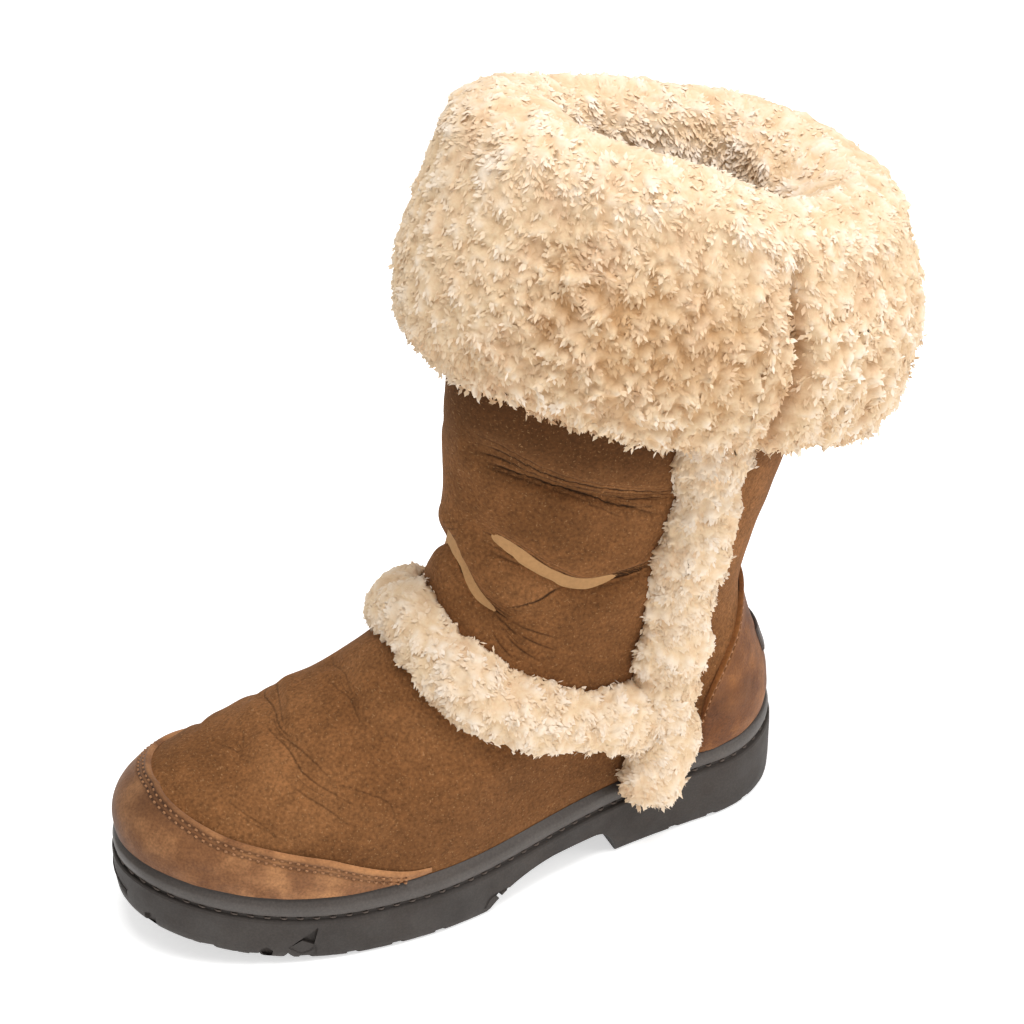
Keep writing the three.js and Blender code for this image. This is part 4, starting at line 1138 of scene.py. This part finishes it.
def strip_face(path, shares, across, out):
    """Points on a strip: shares along its path, millimetres across it and out from the upper."""
    dense = smooth_path(path, 400)
    line = upper_point(dense[:, 1], dense[:, 0])
    travel = travel_along(line)
    place = shares * travel[-1]
    turn = np.interp(place, travel, dense[:, 0])
    level = np.interp(place, travel, dense[:, 1])
    ahead = rows_at(place, travel, np.gradient(line, axis=0))
    sideways = np.cross(upper_normal(level, turn), unit(ahead))
    by_level, by_turn = along_level(level, turn), along_turn(level, turn)
    ll, tt = (by_level ** 2).sum(-1), (by_turn ** 2).sum(-1)
    lt = (by_level * by_turn).sum(-1)
    sl, st = (sideways * by_level).sum(-1), (sideways * by_turn).sum(-1)
    scale = across / (ll * tt - lt * lt)
    at_level = np.clip(level + (sl * tt - st * lt) * scale, 0, TOP_LEVEL)
    return off_upper(at_level, turn + (st * ll - sl * lt) * scale, out)


def strip_length(path):
    dense = smooth_path(path, 400)
    return travel_along(upper_point(dense[:, 1], dense[:, 0]))[-1]


def strip_half(hangs):
    return STRIP["side_half"] if hangs else STRIP["instep_half"]


def strip_round(path, shares, angle, hangs, grow=0.0):
    """Points round the strip's bead: angle -90 to 90 degrees from edge to edge."""
    tail = np.clip((shares - (1 - STRIP_TAIL)) / STRIP_TAIL, 0, 1)
    if not hangs:
        tail = np.maximum(tail, np.clip((STRIP_TAIL - shares) / STRIP_TAIL, 0, 1))
    ends = np.sqrt(np.clip(1 - tail ** 2, 0.02, 1))
    plump = 1 + 0.1 * np.sin(23 * shares) + 0.06 * np.sin(51 * shares + 2)
    across = (strip_half(hangs) * plump + grow) * np.sin(angle) * ends
    out = STRIP_EDGE + (STRIP["height"] * plump + grow) * np.clip(np.cos(angle), 0, 1) ** 0.7 * ends
    loose = hangs * ease(shares, STRIP_HANG["from"], 1)
    points = strip_face(path, shares, across, out + STRIP_HANG["out"] * loose)
    return points + FALL * (STRIP_HANG["drop"] * loose)[..., None]


def make_strip(name, path, node, seed, fall, hangs):
    """A bead of wool along a path, with its locks. One that hangs has a free lower end."""
    rng = np.random.default_rng(seed)
    length = strip_length(path)
    stations = int(length / STRIP_STATION)
    shares, angles = np.meshgrid(np.linspace(0, 1, stations),
                                 np.linspace(-np.pi / 2, np.pi / 2, STRIP_AROUND), indexing="ij")
    face = strip_round(path, shares, angles, hangs)
    outward = unit(strip_round(path, shares, angles, hangs, 2.0) - face)
    clump, _, lean = wool(face, STRIP_CLUMPS["large"], seed)
    tuft, tuft_chance, _ = wool(face, STRIP_CLUMPS["small"], seed + 20)
    height = 0.5 * clump + 0.2 * tuft + 0.3 * brushed_pile(face, seed + 40)
    edge = ease(np.abs(angles), 1.1, 1.5)
    pile = STRIP["pile"] * height + STRIP["fringe"] * edge * tuft_chance * tuft
    raised = face + outward * pile[..., None]
    raised = raised + STRIP["lean"] * lean * height[..., None] + FALL * (fall * height)[..., None]
    wisps = hangs * ease(shares, 1 - STRIP_TAIL, 1) * tuft_chance * tuft
    raised = raised + FALL * (STRIP_HANG["wisps"] * wisps)[..., None]
    backs = np.linspace(np.pi / 2, -np.pi / 2, STRIP_BACK_AROUND)
    back_shares, back_angles = np.meshgrid(shares[:, 0], backs, indexing="ij")
    back_loose = hangs * ease(back_shares, STRIP_HANG["from"], 1)
    back = strip_face(path, back_shares, strip_half(hangs) * np.sin(back_angles) * 0.85,
                      STRIP_BACK + STRIP_HANG["out"] * back_loose)
    back = back + FALL * (STRIP_HANG["drop"] * back_loose)[..., None]
    strip_skin = np.concatenate([raised, back, raised[:, :1]], axis=1)
    # Tone by the wool's height, held a little low as painted shade on the strips
    tone = 0.18 + 0.7 * height
    tones = np.concatenate([tone, np.zeros((stations, back.shape[1] + 1))], axis=1)
    strip = lay_grid(name, strip_skin, tone=np.clip(tones, 0, 1))
    settle(strip, cream_fleece, "fleece", node)
    cover_with_locks(name + "_locks", raised, outward, lean, tone, int(STRIP_LOCKS_PER_MM * length),
                     STRIP_LOCK, rng)


instep_path = ANKLE_HALF + inner_side(ANKLE_HALF[:-1])[::-1]
make_strip("side_strip_outer", SIDE_PATH, "side_fur_strip_lateral", seed=110, fall=1.5, hangs=1)
make_strip("side_strip_inner", inner_side(SIDE_PATH), "side_fur_strip_medial", seed=210, fall=1.5, hangs=1)
make_strip("instep_strip", instep_path, "ankle_fur_strip", seed=310, fall=1.0, hangs=0)


# Cuff: the shaft's top folded down, wool side out, over the collar. Dense clumps cover the roll and
# the outer face, hang in points along the hem, and part at the side seam.
CUFF_EDGE = [(0, 9.6), (0.1, 9.9), (0.176, 10.09), (0.276, 10.2), (0.339, 10.34), (0.393, 10.45),
             (0.5, 10.55)]
CUFF_BACK_FULLER = 1.33
CUFF_SEAM = {"turn": 0.21, "depth": 0.45, "spread": 0.006, "lip": 0.07, "lip_at": 0.018, "wander": 0.003}
CUFF_ENDS_FULLER = 14.0
# Lift of the rim round the collar: it dips at the outer seam and stands up behind, on the inner side
CUFF_RIM = [(0, 7), (0.06, 4), (0.12, 1), (0.17, -2), (0.21, -3), (0.25, 1.5), (0.3, 5), (0.37, 4),
            (0.44, 4), (0.5, 4), (0.6, 3.5), (0.68, 3.5), (0.78, 8), (0.87, 12), (0.93, 11), (1, 7)]
# Columns: share of the cuff's depth below the fold, distance from the upper's face, height over the fold
CUFF_OUTSIDE = [(0.55, -5, 0), (0.58, -9.5, 0), (0.4, -12.2, 0), (0.18, -13, 0), (0, -13, 5),
                (0, -9.5, 13.5), (0, -2, 18.5), (0, 7, 15.5), (0, 13, 8), (0.06, 15.5, 0), (0.3, 19.5, 0),
                (0.6, 22.5, 0), (0.85, 20.5, 0), (0.97, 13, 0), (0.97, 4, 0)]
CUFF_INSIDE = [(0.95, 0.6, 0), (0.5, 0.6, 0), (0, 0.6, 0), (0, -1.5, 0.8), (0, -3.6, 0), (0.15, -3.6, 0)]
# Rows of the section farther out, farther in or higher than these are its outer face, inner face and roll
OUTER_FACE, INNER_FACE, ROLL = 1, -4, 2
CUFF_AROUND, CUFF_ROWS = 510, 185
CUFF_PILE = 5.0
CUFF_CLUMPS = {"large": 6.0, "small": 3.0, "combed": 7.0}
COMBED_STRETCH = np.array([1, 1, 0.5])
CUFF_HANG = 4.5
CUFF_LEAN, CUFF_DROOP = 2.2, 1.6
CUFF_LOCK = {"length": 3.3, "width": 1.5, "rise": 0.15}
CUFF_LOCKS = 48000
# Tan patch low on the outer side, tan wool with painted shade over it: turn and share of the section at
# its middle, its half sizes and how much it darkens the tone
TAN_PATCH = {"turn": 0.32, "down": 0.72, "wide": 0.09, "high": 0.14, "shade": 0.36}


def seam_gap(turn, drop):
    """Distance from the cuff's wandering side seam, in turns."""
    return from_back(turn) - CUFF_SEAM["turn"] - CUFF_SEAM["wander"] * np.sin(9 * drop)


def cuff_place(turn, spot, grow=0.0):
    """Points on the cuff for rows of (drop, out, rise), one for each turn."""
    drop, out, rise = np.moveaxis(np.asarray(spot, float), -1, 0)
    edge = edge_level(CUFF_EDGE, turn)
    level = TOP_LEVEL + (edge - TOP_LEVEL) * drop
    fuller = CUFF_BACK_FULLER + (1 - CUFF_BACK_FULLER) * ease(from_back(turn), 0.05, 0.4)
    gap = seam_gap(turn, drop)
    lips = np.exp(-((np.abs(gap) - CUFF_SEAM["lip_at"]) / 0.01) ** 2)
    slit = CUFF_SEAM["lip"] * lips - CUFF_SEAM["depth"] * np.exp(-(gap / CUFF_SEAM["spread"]) ** 2)
    outer = out * fuller * (1 + slit * ease(drop - rise / 100, -0.14, 0.12)) + grow
    reach = np.where(out > OUTER_FACE, outer, np.where(out < INNER_FACE, out - grow, out))
    up = unit(along_level(TOP_LEVEL, turn))
    points = off_upper(level, turn, reach) + up * (rise + np.where(rise > ROLL, grow, 0))[..., None]
    along = np.cos(2 * np.pi * turn)
    points[..., 0] += CUFF_ENDS_FULLER * along * np.abs(along) * np.clip((-2 - out) / 11, 0, 1)
    rim_turn, rim_lift = smooth_path(CUFF_RIM, 200).T
    lift = np.interp(np.mod(turn, 1.0), rim_turn, rim_lift)
    seen = (out > OUTER_FACE) | (out < INNER_FACE) | (rise > ROLL)
    points[..., 2] += np.where(seen, lift * (1 - drop), 0)
    return points


def even_section(rows, count):
    """A section's rows spaced evenly along its length, and how far along it each one is."""
    fine = smooth_path(rows, 600)
    profile = cuff_place(np.full(600, 0.3), fine)
    travel = travel_along(profile)
    places = np.linspace(0, travel[-1], count)
    return rows_at(places, travel, fine), places


cuff_section, section_travel = even_section(CUFF_OUTSIDE, CUFF_ROWS)
cuff_turn = np.linspace(0, 1, CUFF_AROUND + 1)
spots = np.broadcast_to(cuff_section[:, None], (CUFF_ROWS, CUFF_AROUND + 1, 3))
grid_turn = np.broadcast_to(cuff_turn, spots.shape[:2])
cuff_face = cuff_place(grid_turn, spots)
cuff_outward = unit(cuff_place(grid_turn, spots, 2.0) - cuff_face)
down = section_travel[:, None] / section_travel[-1] * np.ones_like(grid_turn)
front = ease(from_back(grid_turn), 0.37, 0.45)
curly = 0.35 + 0.65 * ease(down + 0.06 * ripple(cuff_face, 35, 40), 0.5, 0.66) * (1 - 0.75 * front)
curly = np.clip(curly + 0.25 * ripple(cuff_face, 22, 41), 0.1, 1)
clump, _, lean = wool(cuff_face, CUFF_CLUMPS["large"], 430)
tuft, tuft_chance, _ = wool(cuff_face, CUFF_CLUMPS["small"], 530)
combed, _, combed_lean = wool(cuff_face * COMBED_STRETCH, CUFF_CLUMPS["combed"], 630)
combed = 0.5 * combed + 0.2 * tuft + 0.3 * brushed_pile(cuff_face, 45)
wool_height = curly * (0.65 * clump + 0.35 * tuft) + (1 - curly) * combed
cuff_lean = curly[..., None] * lean + (1 - curly[..., None]) * combed_lean
hem = ease(down, 0.86, 0.95)
raised = cuff_face + cuff_outward * (CUFF_PILE * wool_height)[..., None]
raised = raised + CUFF_LEAN * cuff_lean * wool_height[..., None]
raised = raised + FALL * (CUFF_DROOP * wool_height + CUFF_HANG * hem * tuft_chance * tuft)[..., None]
slit_shade = np.exp(-(seam_gap(grid_turn, spots[..., 0]) / CUFF_SEAM["spread"]) ** 2)
slit_shade = slit_shade * ease(down, 0.55, 0.65)
patch_gap = np.hypot((grid_turn - TAN_PATCH["turn"]) / TAN_PATCH["wide"],
                     (down - TAN_PATCH["down"]) / TAN_PATCH["high"])
# Tone: tan root to cream tip by the wool's height, with painted light where the wool faces up and along
# the top of the roll, and painted shade in the seam slit and the tan patch
cuff_tone = 0.02 + 0.88 * wool_height + 0.1 * np.clip(cuff_outward[..., 2], 0, 1)
cuff_tone = cuff_tone + 0.15 * (1 - ease(down, 0.2, 0.3))
cuff_tone = cuff_tone - 0.35 * slit_shade - TAN_PATCH["shade"] * np.exp(-patch_gap ** 2)
cuff_inner = np.array([cuff_place(cuff_turn, np.broadcast_to(spot, (CUFF_AROUND + 1, 3)))
                       for spot in CUFF_INSIDE])
cuff_skin = np.concatenate([raised, cuff_inner, raised[:1]])
cuff_skin[:, -1] = cuff_skin[:, 0]
cuff_tones = np.concatenate([np.clip(cuff_tone, 0, 1), np.zeros((len(cuff_inner) + 1, CUFF_AROUND + 1))])
cuff = lay_grid("cuff_fleece", cuff_skin, tone=cuff_tones)
settle(cuff, cream_fleece, "fleece", "cuff")
cover_with_locks("cuff_locks", raised, cuff_outward, cuff_lean, cuff_tone, CUFF_LOCKS, CUFF_LOCK,
                 np.random.default_rng(14))
